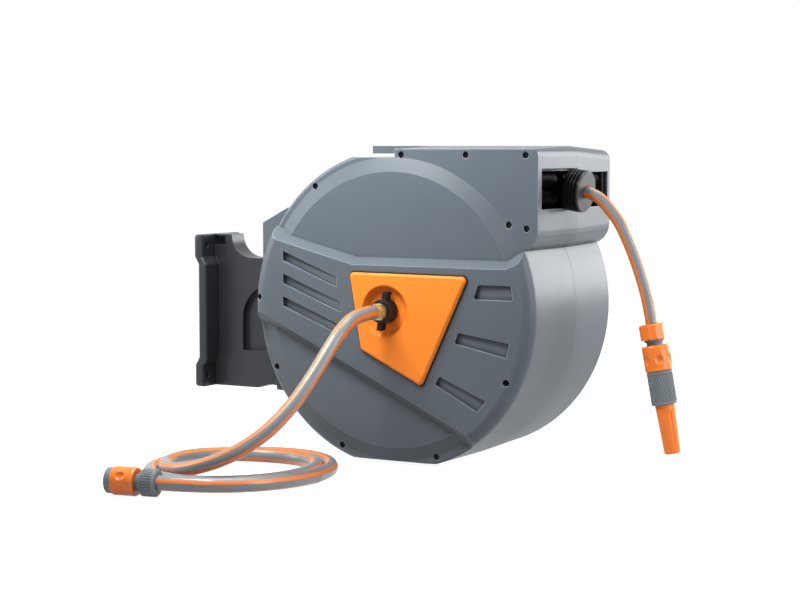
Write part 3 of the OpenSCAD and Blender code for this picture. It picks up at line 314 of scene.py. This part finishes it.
# %% Paint shade on the stretch of hose between the rollers, in black rubber
shade_from, shade_to, shade_slot = 0.47, 0.5215, 2
painted_shade_faces = [p for p in outlet.data.polygons if shade_from < p.center.x < shade_to]
for face in painted_shade_faces:
    face.material_index = shade_slot
print("guarded hose:", len(painted_shade_faces), "faces")

# %% [markdown]
# ## The nozzle's grip sleeve
# The grey sleeve of the nozzle has fine ribs that lean like a screw thread, so that wet fingers can
# twist the tip against it. A screw modifier makes threads, but no smooth ends. Here the ribs of each
# ring of points are moved on a little from those of the last, and so they lean. The sleeve's axis is
# measured on its solid.

# %% Measure the sleeve's solid
flow_lean = math.radians(10.5)
flow = Vector((math.sin(flow_lean), 0, -math.cos(flow_lean)))
across = Vector((0, 1, 0))
upward = flow.cross(across)
sleeve_points = [v.co for v in nodes["nozzle_sleeve"].data.vertices]


def middle_and_half(way):
    """The middle of the sleeve along a direction, and half of its length there."""
    marks = [p.dot(way) for p in sleeve_points]
    return (max(marks) + min(marks)) / 2, (max(marks) - min(marks)) / 2


sleeve_mid, sleeve_half = middle_and_half(flow)
sleeve_centre = (flow * sleeve_mid + across * middle_and_half(across)[0]
                 + upward * middle_and_half(upward)[0])
sleeve_radius = middle_and_half(across)[1]
print("sleeve: radius", round(sleeve_radius, 4), "length", round(2 * sleeve_half, 4))

# %% Turn the sleeve with leaning ribs
rib_count, rib_points, rib_steps = 30, 6, 16
rib_depth, rib_lean = 0.0009, 1.52
inlet_bore, tip_bore, tip_depth = 0.0036, 0.0082, 0.0148
chamfer, plain_end, ribs_from = 0.0006, 0.0028, 0.0032
sleeve_sides = rib_count * rib_points
ribbed_half, rim = sleeve_half - ribs_from, sleeve_radius - chamfer
sleeve_rows = [(-sleeve_half, inlet_bore, 0), (-sleeve_half, rim, 0)]
sleeve_rows += [(-sleeve_half + inset, sleeve_radius, 0) for inset in (chamfer, plain_end)]
sleeve_rows += [(ribbed_half * (2 * i / rib_steps - 1), sleeve_radius, rib_depth)
                for i in range(rib_steps + 1)]
sleeve_rows += [(sleeve_half - inset, sleeve_radius, 0) for inset in (plain_end, chamfer)]
sleeve_rows += [(sleeve_half, rim, 0), (sleeve_half, tip_bore, 0),
                (sleeve_half - tip_depth, tip_bore, 0), (sleeve_half - tip_depth, inlet_bore, 0)]
sleeve_verts = []
for along, radius, depth in sleeve_rows:
    for k, a in enumerate(round_angles(sleeve_sides)):
        phase = 2 * math.pi * (k / rib_points + rib_lean * along / sleeve_half)
        r = radius - depth * (0.5 - 0.5 * math.cos(phase))
        sleeve_verts.append(sleeve_centre + flow * along
                            + r * (math.cos(a) * across + math.sin(a) * upward))
sleeve = ring_piece("ribbed_sleeve", sleeve_verts, len(sleeve_rows), smooth=False)
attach(sleeve, "reel")
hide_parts("nozzle_sleeve")
print("sleeve:", rib_count, "ribs,", len(sleeve.data.polygons), "faces")

# %% [markdown]
# ## Round edges on the bracket
# The bracket is a thick moulding, and the edges of its plate have a radius of four or five millimetres.
# The solid's edges are sharp. A bevel modifier would round the screw holes as well, so the plate's long
# outer edges are picked by their angle and rounded in mesh code, and the copy takes the solid's place.
# Edges that run into the web stay as they are, since two roundings would cross there.

# %% Pick the plate's outer edges
weld, flat_angle, edge_angle = 0.00001, math.radians(2), math.radians(30)
edge_radius, edge_steps = 0.0045, 4
shortest = 2.2 * edge_radius
plate_reach, web_half, web_root = 0.0305, 0.0145, 0.012
shape = bmesh.new()
shape.from_mesh(nodes["wall_bracket"].data)
bmesh.ops.remove_doubles(shape, verts=shape.verts, dist=weld)
bmesh.ops.dissolve_limit(shape, angle_limit=flat_angle, verts=shape.verts, edges=shape.edges)


def is_outer(edge):
    """A long edge that stands out."""
    return (edge.is_manifold and edge.is_convex and edge.calc_face_angle() > edge_angle
            and edge.calc_length() > shortest)


def on_plate(edge):
    return max(v.co.x for v in edge.verts) < plate_reach


def meets_web(edge):
    return any(abs(v.co.y) < web_half and v.co.x > web_root for v in edge.verts)


outer = [e for e in shape.edges if is_outer(e) and on_plate(e) and not meets_web(e)]
print("bracket: edges to round", len(outer))

# %% Round them
bmesh.ops.bevel(shape, geom=outer, offset=edge_radius, offset_type="OFFSET", segments=edge_steps,
                profile=0.5, affect="EDGES", clamp_overlap=False)
bracket_mesh = bpy.data.meshes.new("bracket_moulding")
shape.to_mesh(bracket_mesh)
shape.free()
bracket = new_object("bracket_moulding", bracket_mesh)
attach(bracket, "bracket")
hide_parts("wall_bracket")
print("bracket: faces", len(bracket_mesh.polygons))

# %% [markdown]
# ## The hoses on the reel
# The two hose tubes hang on the reel's body, and the solid hoses they replace are hidden.

# %% Hang the hose tubes on the reel and hide the solid hoses
for piece, node in ((outlet, "outlet_hose"), (leader, "leader_hose")):
    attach(piece, "reel")
    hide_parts(node)

# %% [markdown]
# ## The seal round the panel
# The orange panel drops into a shallow seat in the casing. A soft black seal fills the gap, keeps the
# water out and draws the dark line round the panel. A bevelled curve would be round in section, so the
# seal is one loop of a drawn section, bent round the panel's corners: a short lip lies on the casing
# and a foot stands in the gap.

# %% Bend the seal round the panel
panel_corners = [Vector(p) for p in ((-50.0, 45.0), (111.0, 44.0), (49.0, -88.0), (-34.0, -48.0))]
panel_round, corner_steps, belt_face = 5.0, 8, -123.0
seal_section = [(0.15, -1.5), (0.15, 0.75), (0.6, 1.05), (1.3, 1.0), (1.75, 0.6), (1.8, 0.05),
                (0.85, 0.05), (0.85, -1.5)]


def outline_at(corners, rounding, away):
    """Points of the outline with round corners, moved outwards, clockwise from the upper left."""
    out = []
    for i, corner in enumerate(corners):
        before = (corners[i - 1] - corner).normalized()
        after = (corners[(i + 1) % len(corners)] - corner).normalized()
        half = before.angle(after) / 2
        centre = corner + (before + after).normalized() * rounding / math.sin(half)
        first, last = ((corner + way * rounding / math.tan(half) - centre).normalized()
                       for way in (before, after))
        for k in range(corner_steps + 1):
            t = k / corner_steps
            out.append(centre + ((1 - t) * first + t * last).normalized() * (rounding + away))
    return out


seal_verts = [from_axis(p.x, belt_face - rise, p.y) for away, rise in seal_section
              for p in outline_at(panel_corners, panel_round, away)]
seal = ring_piece("panel_seal", seal_verts, len(seal_section), smooth=True)
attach(seal, "reel")
print("seal:", len(seal.data.polygons), "faces")

# %% [markdown]
# ## Shared surface effects
# Moulded plastic is never one flat colour: the tool leaves a fine grain, the flow leaves faint clouds,
# and corners are a little rounder than the drawing says. Each material could hold its own copy of these
# nodes. Grain and clouds are one node group here, the edges a second, which rounds them and also paints
# a highlight on outer edges and shade in inner corners, and the braid of a hose a third, each built
# once and placed in a material with its own values.


# %% Helpers for node trees
def new_group(name, inputs, outputs):
    group = bpy.data.node_groups.new(name, "ShaderNodeTree")
    for label, kind, value in inputs:
        socket = group.interface.new_socket(label, in_out="INPUT", socket_type=kind)
        socket.default_value = value
    for label, kind in outputs:
        group.interface.new_socket(label, in_out="OUTPUT", socket_type=kind)
    return group, group.nodes.new("NodeGroupInput"), group.nodes.new("NodeGroupOutput")


def put(tree, kind, **settings):
    """A new node. Settings with a capital letter are its sockets, the others its own options."""
    node = tree.nodes.new(kind)
    for key, value in settings.items():
        if key[0].isupper():
            node.inputs[key.replace("_", " ")].default_value = value
        else:
            setattr(node, key, value)
    return node


def wire(tree, *pairs):
    for source, target in pairs:
        tree.links.new(source, target)


# %% Helpers for sums on values and colours
def maths(tree, operation, a, b=None, c=None, clamp=False):
    node = put(tree, "ShaderNodeMath", operation=operation, use_clamp=clamp)
    for place, value in enumerate((a, b, c)):
        if isinstance(value, bpy.types.NodeSocket):
            wire(tree, (value, node.inputs[place]))
        elif value is not None:
            node.inputs[place].default_value = value
    return node.outputs[0]


def swung(tree, middle, value, amount):
    """The middle, moved up or down by an amount as the value is over or under one half."""
    return maths(tree, "MULTIPLY_ADD", maths(tree, "SUBTRACT", value, 0.5), amount, middle)


def scaled(tree, colour, amount):
    node = put(tree, "ShaderNodeVectorMath", operation="SCALE")
    wire(tree, (colour, node.inputs[0]), (amount, node.inputs["Scale"]))
    return node.outputs[0]


# %% Group: grain of moulded plastic
grain, g_in, g_out = new_group(
    "moulded_grain",
    [("Tint", "NodeSocketColor", (0.5, 0.5, 0.5, 1)), ("Clouds", "NodeSocketFloat", 0.1),
     ("Grain per metre", "NodeSocketFloat", 1400.0), ("Roughness", "NodeSocketFloat", 0.4),
     ("Roughness spread", "NodeSocketFloat", 0.08)],
    [("Color", "NodeSocketColor"), ("Roughness", "NodeSocketFloat"), ("Height", "NodeSocketFloat")])
place = put(grain, "ShaderNodeTexCoord")
clouds = put(grain, "ShaderNodeTexNoise", Scale=9.0, Detail=4.0, Roughness=0.55)
specks = put(grain, "ShaderNodeTexNoise", Detail=2.0, Roughness=0.6)
wire(grain, (place.outputs["Object"], clouds.inputs["Vector"]),
     (place.outputs["Object"], specks.inputs["Vector"]),
     (g_in.outputs["Grain per metre"], specks.inputs["Scale"]))
shade = swung(grain, 1.0, clouds.outputs[0], g_in.outputs["Clouds"])
shade = swung(grain, shade, specks.outputs[0], maths(grain, "MULTIPLY", g_in.outputs["Clouds"], 0.5))
rough = swung(grain, g_in.outputs["Roughness"], clouds.outputs[0], g_in.outputs["Roughness spread"])
wire(grain, (scaled(grain, g_in.outputs["Tint"], shade), g_out.inputs["Color"]),
     (rough, g_out.inputs["Roughness"]), (specks.outputs[0], g_out.inputs["Height"]))
print("group", grain.name, "with", len(grain.nodes), "nodes")

# %% Group: rounded edges, with a painted highlight where they stand out and painted shade in inner corners
edges, e_in, e_out = new_group(
    "rounded_edges_painted_light",
    [("Color", "NodeSocketColor", (0.5, 0.5, 0.5, 1)), ("Radius", "NodeSocketFloat", 0.001),
     ("Rub", "NodeSocketFloat", 0.25), ("Fold", "NodeSocketFloat", 0.5),
     ("Reach", "NodeSocketFloat", 0.006)],
    [("Color", "NodeSocketColor"), ("Normal", "NodeSocketVector")])
ray_count, fold_guard = 6, -6.0
corner = put(edges, "ShaderNodeBevel", samples=ray_count)
flat = put(edges, "ShaderNodeNewGeometry")
sky = put(edges, "ShaderNodeAmbientOcclusion", samples=ray_count, only_local=True)
turn = put(edges, "ShaderNodeVectorMath", operation="DOT_PRODUCT")
wire(edges, (e_in.outputs["Radius"], corner.inputs["Radius"]),
     (e_in.outputs["Reach"], sky.inputs["Distance"]),
     (corner.outputs[0], turn.inputs[0]), (flat.outputs["Normal"], turn.inputs[1]))
# A painted highlight on edges that stand out and painted shade where ambient occlusion finds a corner
# closed, both scaling the colour.
bent = maths(edges, "POWER", maths(edges, "SUBTRACT", 1.0, turn.outputs["Value"], clamp=True), 0.5)
closed = maths(edges, "SUBTRACT", 1.0, sky.outputs["AO"], clamp=True)
stands_out = maths(edges, "MULTIPLY_ADD", closed, fold_guard, 1.0, clamp=True)
light = maths(edges, "MULTIPLY", maths(edges, "MULTIPLY", bent, stands_out), e_in.outputs["Rub"])
dark = maths(edges, "MULTIPLY", closed, e_in.outputs["Fold"])
lift = maths(edges, "ADD", maths(edges, "SUBTRACT", 1.0, dark), light)
wire(edges, (scaled(edges, e_in.outputs["Color"], lift), e_out.inputs["Color"]),
     (corner.outputs[0], e_out.inputs["Normal"]))
print("group", edges.name, "with", len(edges.nodes), "nodes")

# %% Group: braid under the skin of a hose
braid, b_in, b_out = new_group(
    "hose_braid",
    [("Tint", "NodeSocketColor", (0.5, 0.5, 0.5, 1)), ("Depth", "NodeSocketFloat", 0.12)],
    [("Color", "NodeSocketColor"), ("Height", "NodeSocketFloat")])
braid_along, braid_round, thread_power = 900.0, 75.398, 4.0
chart = put(braid, "ShaderNodeUVMap", uv_map="hose")
split = put(braid, "ShaderNodeSeparateXYZ")
wire(braid, (chart.outputs[0], split.inputs[0]))
strands = []
for lean in (-1, 1):
    phase = maths(braid, "MULTIPLY_ADD", split.outputs[1], lean * braid_along,
                  maths(braid, "MULTIPLY", split.outputs[0], braid_round))
    strands.append(maths(braid, "MULTIPLY_ADD", maths(braid, "SINE", phase), 0.5, 0.5))
thread = maths(braid, "POWER", maths(braid, "MAXIMUM", *strands), thread_power)
cast = swung(braid, 1.0, thread, b_in.outputs["Depth"])
wire(braid, (scaled(braid, b_in.outputs["Tint"], cast), b_out.inputs["Color"]),
     (thread, b_out.inputs["Height"]))
print("group", braid.name, "with", len(braid.nodes), "nodes")

# %% [markdown]
# ## The plastics
# The casing is a satin slate plastic, the bracket a nearly black one, the panel and couplers are bright
# orange, and the grips a mid grey. They could be painted one by one, but one recipe makes them all:
# grain sets the colour and roughness, the edge group rounds the corners and paints a highlight on outer
# edges and shade in inner corners, and a bump carries the grain. Only the values change. Where the two
# halves of the casing meet, the painted highlight on their edges is left out.


# %% One recipe for moulded plastic
def blank(name, tint):
    """A new material, its node tree and its shader."""
    finish = bpy.data.materials.new(name)
    finish.use_nodes = True
    finish.diffuse_color = (*tint, 1)
    return finish, finish.node_tree, finish.node_tree.nodes["Principled BSDF"]


def dress(tree, shader, surface, rounded, height, strength, depth):
    """Wire the grain, the rounded edges with their painted highlight and shade, and a bump to the
    shader.
    """
    relief = put(tree, "ShaderNodeBump", Strength=strength, Distance=depth)
    wire(tree, (surface.outputs["Color"], rounded.inputs["Color"]),
         (rounded.outputs["Color"], shader.inputs["Base Color"]),
         (surface.outputs["Roughness"], shader.inputs["Roughness"]),
         (height, relief.inputs["Height"]), (rounded.outputs["Normal"], relief.inputs["Normal"]),
         (relief.outputs["Normal"], shader.inputs["Normal"]))


plastic_relief, seam_half = 0.0004, 0.003


# Two of the edge values set how strong the painted highlight on outer edges and the painted shade in
# corners are.
def moulded(name, tint, roughness, clouds=0.12, bump=0.04, radius=0.0012, rub=0.25, fold=0.6,
            gloss=0.4, seam=None):
    finish, tree, shader = blank(name, tint)
    surface = put(tree, "ShaderNodeGroup", node_tree=grain, Tint=(*tint, 1), Clouds=clouds,
                  Grain_per_metre=1400.0, Roughness=roughness, Roughness_spread=0.12)
    rounded = put(tree, "ShaderNodeGroup", node_tree=edges, Radius=radius, Rub=rub, Fold=fold)
    dress(tree, shader, surface, rounded, surface.outputs["Height"], bump, plastic_relief)
    shader.inputs["Specular IOR Level"].default_value = gloss
    # Within a few millimetres of the parting line, the painted edge highlight is switched off.
    if seam is not None:
        where = put(tree, "ShaderNodeTexCoord")
        split = put(tree, "ShaderNodeSeparateXYZ")
        wire(tree, (where.outputs["Object"], split.inputs[0]))
        away = maths(tree, "ABSOLUTE", maths(tree, "SUBTRACT", split.outputs[1], seam))
        highlight_off_seam = maths(tree, "MULTIPLY", maths(tree, "GREATER_THAN", away, seam_half), rub)
        wire(tree, (highlight_off_seam, rounded.inputs["Rub"]))
    return finish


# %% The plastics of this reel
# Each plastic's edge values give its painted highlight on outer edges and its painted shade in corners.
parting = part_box("front_shell")[1].y
casing_slate = moulded("casing_slate", (0.095, 0.114, 0.132), 0.38, clouds=0.22, bump=0.07,
                       radius=0.0013, rub=4.5, fold=1.25, gloss=0.24, seam=parting)
rear_slate = moulded("rear_slate", (0.096, 0.116, 0.135), 0.4, clouds=0.22, bump=0.08,
                     radius=0.0013, rub=3.0, fold=1.2, gloss=0.28, seam=parting)
bracket_black = moulded("bracket_black", (0.019, 0.021, 0.0255), 0.32, bump=0.08, radius=0.0018,
                        rub=2.2, fold=1.0, gloss=0.42)
panel_orange = moulded("panel_orange", (0.95, 0.25, 0.028), 0.4, clouds=0.03, radius=0.0014, rub=0.08,
                       fold=0.35, gloss=0.22)
coupler_orange = moulded("coupler_orange", (0.92, 0.21, 0.022), 0.3, clouds=0.04, radius=0.0008,
                         rub=0.1)
roller_black = moulded("roller_black", (0.0022, 0.0023, 0.0025), 0.5, radius=0.0005, gloss=0.06)
frame_black = moulded("frame_black", (0.006, 0.0065, 0.0075), 0.45, radius=0.0006, gloss=0.2)
stop_rubber = moulded("stop_rubber", (0.004, 0.0042, 0.0045), 0.4, bump=0.06, radius=0.0006,
                      gloss=0.12)
seal_black = moulded("seal_black", (0.006, 0.006, 0.0065), 0.6, bump=0.1, radius=0.0003, gloss=0.2)
disc_grey = moulded("disc_grey", (0.036, 0.033, 0.032), 0.38, bump=0.05, radius=0.0006, rub=1.5)
grip_grey = moulded("grip_grey", (0.165, 0.19, 0.205), 0.45, bump=0.1, radius=0.0006, fold=0.9)
drum_grey = moulded("drum_grey", (0.045, 0.047, 0.052), 0.5)
print("materials so far:", len(bpy.data.materials))

# %% [markdown]
# ## The metals
# Brass and steel parts are turned on a lathe, which leaves fine rings round the axis. They could be cut
# as grooves, but a noise that is stretched across the axis draws them in the bump, and the grain group
# lets the gloss change a little from place to place.

# %% One recipe for turned metal
ring_stretch, metal_relief = (40, 900, 40), 0.0003


def turned(name, tint, roughness, metal=1.0):
    finish, tree, shader = blank(name, tint)
    where = put(tree, "ShaderNodeTexCoord")
    stretch = put(tree, "ShaderNodeMapping", Scale=ring_stretch)
    rings = put(tree, "ShaderNodeTexNoise", Scale=1.0, Detail=3.0)
    wire(tree, (where.outputs["Object"], stretch.inputs["Vector"]),
         (stretch.outputs[0], rings.inputs["Vector"]))
    surface = put(tree, "ShaderNodeGroup", node_tree=grain, Tint=(*tint, 1), Clouds=0.1,
                  Grain_per_metre=200.0, Roughness=roughness, Roughness_spread=0.12)
    # The edge group also paints a faint highlight on outer edges and shade in corners of the metal.
    rounded = put(tree, "ShaderNodeGroup", node_tree=edges, Radius=0.0005, Rub=0.3)
    dress(tree, shader, surface, rounded, rings.outputs[0], 0.05, metal_relief)
    shader.inputs["Metallic"].default_value = metal
    return finish


turned_brass = turned("turned_brass", (0.68, 0.47, 0.19), 0.3)
plain_steel = turned("plain_steel", (0.58, 0.59, 0.61), 0.34)
black_steel = turned("black_steel", (0.03, 0.03, 0.033), 0.4, metal=0.0)
print("metals:", turned_brass.name, plain_steel.name, black_steel.name)

# %% [markdown]
# ## The skin of the hose
# The jacket is a clear grey plastic over a braid, and the orange stripes are extruded with it, so the
# same braid shows through both. Real clear plastic would be slow to render and hard to see here, so the
# braid is drawn in the colour, and a thin coat gives the wet look of new hose.

# %% Jacket and stripe
braid_relief = 0.0003


def hose_skin(name, tint, depth):
    finish, tree, shader = blank(name, tint)
    weave = put(tree, "ShaderNodeGroup", node_tree=braid, Tint=(*tint, 1), Depth=depth)
    surface = put(tree, "ShaderNodeGroup", node_tree=grain, Clouds=0.08, Grain_per_metre=500.0,
                  Roughness=0.38, Roughness_spread=0.1)
    relief = put(tree, "ShaderNodeBump", Strength=0.04, Distance=braid_relief)
    wire(tree, (weave.outputs["Color"], surface.inputs["Tint"]),
         (surface.outputs["Color"], shader.inputs["Base Color"]),
         (surface.outputs["Roughness"], shader.inputs["Roughness"]),
         (weave.outputs["Height"], relief.inputs["Height"]),
         (relief.outputs["Normal"], shader.inputs["Normal"]))
    shader.inputs["Coat Weight"].default_value = 0.3
    shader.inputs["Coat Roughness"].default_value = 0.08
    return finish


hose_jacket = hose_skin("hose_jacket", (0.19, 0.2, 0.208), 0.06)
hose_stripe = hose_skin("hose_stripe", (0.85, 0.2, 0.025), 0.05)
print("hose skins:", hose_jacket.name, hose_stripe.name)

# %% Give the scene's own pieces their finish
# The outlet's third finish, black rubber, is painted shade on the stretch between the rollers.
own_finishes = ((outlet, (hose_jacket, hose_stripe, stop_rubber)), (leader, (hose_jacket, hose_stripe)),
                (wound, (hose_jacket, hose_stripe)), (seal, (seal_black,)), (boot, (stop_rubber,)),
                (sleeve, (grip_grey,)), (bracket, (bracket_black,)))
for piece, finishes in own_finishes:
    for finish in finishes:
        piece.data.materials.append(finish)
print("own pieces finished:", len(own_finishes))

# %% Give every solid its finish
finish_of = {
    casing_slate: ["front_shell"],
    rear_slate: ["rear_shell", "hinge_block"],
    bracket_black: ["wall_bracket"],
    panel_orange: ["inlet_panel"],
    coupler_orange: ["hose_nut", "coupler_collar", "nozzle_tip", "leader_collar"],
    frame_black: ["wing_nut", "outlet_frame"],
    roller_black: ["upper_roller", "lower_roller", "front_roller", "rear_roller"],
    stop_rubber: ["hose_stop", "axle_seals"],
    disc_grey: ["stop_disc"],
    grip_grey: ["coupler_body", "nozzle_sleeve", "leader_nut", "leader_body"],
    drum_grey: ["drum_hub", "drum_flange_front", "drum_flange_rear", "spring_case", "spring_cover"],
    turned_brass: ["inlet_fitting", "swivel_body"],
    plain_steel: ["pivot_bushes", "drum_bushes", "axle_tube", "mainspring", "spring_arbor",
                  "ratchet_wheel", "pawl", "pawl_pin", "pawl_spring", "roller_pins"],
    black_steel: ["pivot_rod", "lock_pin", "shell_screws"],
    hose_jacket: ["hose_winding", "outlet_hose", "leader_hose"],
}
for finish, names in finish_of.items():
    for name in names:
        mesh = nodes[name].data
        mesh.materials.clear()
        mesh.materials.append(finish)
bare = sorted(set(nodes) - {n for names in finish_of.values() for n in names})
print("finished", len(nodes) - len(bare), "solids; without a finish:", bare)

# %% [markdown]
# ## Floor and light
# The reel is shown on white. The floor is a pale plain sheet at the level the hose lies on. A plain
# white floor would look grey in places, so the camera sees it glow, but part of its light still comes
# from the lamps, and the shadow of the reel stays.
# The key lamp stands close, in front and high, so the face is lightest at the top left and darkens
# towards the lower right. A lamp on the left lights the bracket. On the right, one lamp beside the
# casing and one behind it shine in the round side, one hangs overhead, and a weak one near the camera
# fills the hoses and the nozzle.

# %% Floor
floor_drop, floor_middle, floor_reach, floor_sides = 0.0004, 0.34, 2.2, 64
floor_z = cad_low.z - floor_drop
floor_mesh = bpy.data.meshes.new("floor")
round_floor = [(floor_middle + floor_reach * math.cos(a), floor_reach * math.sin(a), floor_z)
               for a in round_angles(floor_sides)]
floor_mesh.from_pydata(round_floor, [], [tuple(range(floor_sides))])
floor = new_object("floor", floor_mesh)
print("floor at", round(floor_z, 4))

# %% Finish of the floor
floor_glow = 0.93


def seen_straight(tree):
    """One where the ray comes from the camera, or from a mirror or glass that the camera sees."""
    path = put(tree, "ShaderNodeLightPath")
    return maths(tree, "MAXIMUM", path.outputs["Is Camera Ray"],
                 maths(tree, "MAXIMUM", path.outputs["Is Glossy Ray"],
                       path.outputs["Is Transmission Ray"]))


pale = bpy.data.materials.new("pale_floor")
pale.use_nodes = True
tree = pale.node_tree
tree.nodes.remove(tree.nodes["Principled BSDF"])
matt = put(tree, "ShaderNodeBsdfDiffuse", Color=(0.3, 0.3, 0.3, 1))
glow = put(tree, "ShaderNodeEmission", Color=(1, 1, 1, 1))
both = put(tree, "ShaderNodeAddShader")
wire(tree, (maths(tree, "MULTIPLY", seen_straight(tree), floor_glow), glow.inputs["Strength"]),
     (matt.outputs[0], both.inputs[0]), (glow.outputs[0], both.inputs[1]),
     (both.outputs[0], tree.nodes["Material Output"].inputs["Surface"]))
floor_mesh.materials.append(pale)
print("floor finish", pale.name)

# %% Surround
world = bpy.data.worlds.new("studio")
scene.world = world
world.use_nodes = True
tree = world.node_tree
tree.nodes.clear()
soft = put(tree, "ShaderNodeBackground", Color=(0.93, 0.96, 1, 1), Strength=0.15)
white = put(tree, "ShaderNodeBackground", Color=(1, 1, 1, 1), Strength=1.0)
choice = put(tree, "ShaderNodeMixShader")
output = put(tree, "ShaderNodeOutputWorld")
wire(tree, (seen_straight(tree), choice.inputs[0]), (soft.outputs[0], choice.inputs[1]),
     (white.outputs[0], choice.inputs[2]), (choice.outputs[0], output.inputs["Surface"]))
print("surround", world.name)


# %% Soft lamps
def softbox(name, at, towards, size, watts):
    light = bpy.data.lights.new(name, "AREA")
    light.shape = "RECTANGLE"
    light.size, light.size_y = size
    light.energy = watts
    lamp = new_object(name, light)
    lamp.location = at
    lamp.rotation_euler = (Vector(towards) - Vector(at)).to_track_quat("-Z", "Y").to_euler()


middle = (0.34, -0.05, 0.02)
softbox("key_lamp", (0.2, -0.42, 0.56), (0.33, -0.11, 0.05), (0.4, 0.22), 7.2)
softbox("left_lamp", (-0.75, -0.55, 0.4), (0.2, -0.1, 0.08), (0.4, 0.6), 4.5)
softbox("fill_lamp", (0.8, -2.0, 0.6), middle, (0.5, 0.9), 3.4)
softbox("side_lamp", (1.35, -0.05, 0.3), (0.55, 0.0, 0.0), (0.5, 0.7), 6)
softbox("right_lamp", (1.4, 1.8, 0.5), (0.5, 0.0, 0.1), (0.8, 0.9), 24)
softbox("top_lamp", (0.5, 0.5, 2.0), middle, (1.4, 1.0), 22)
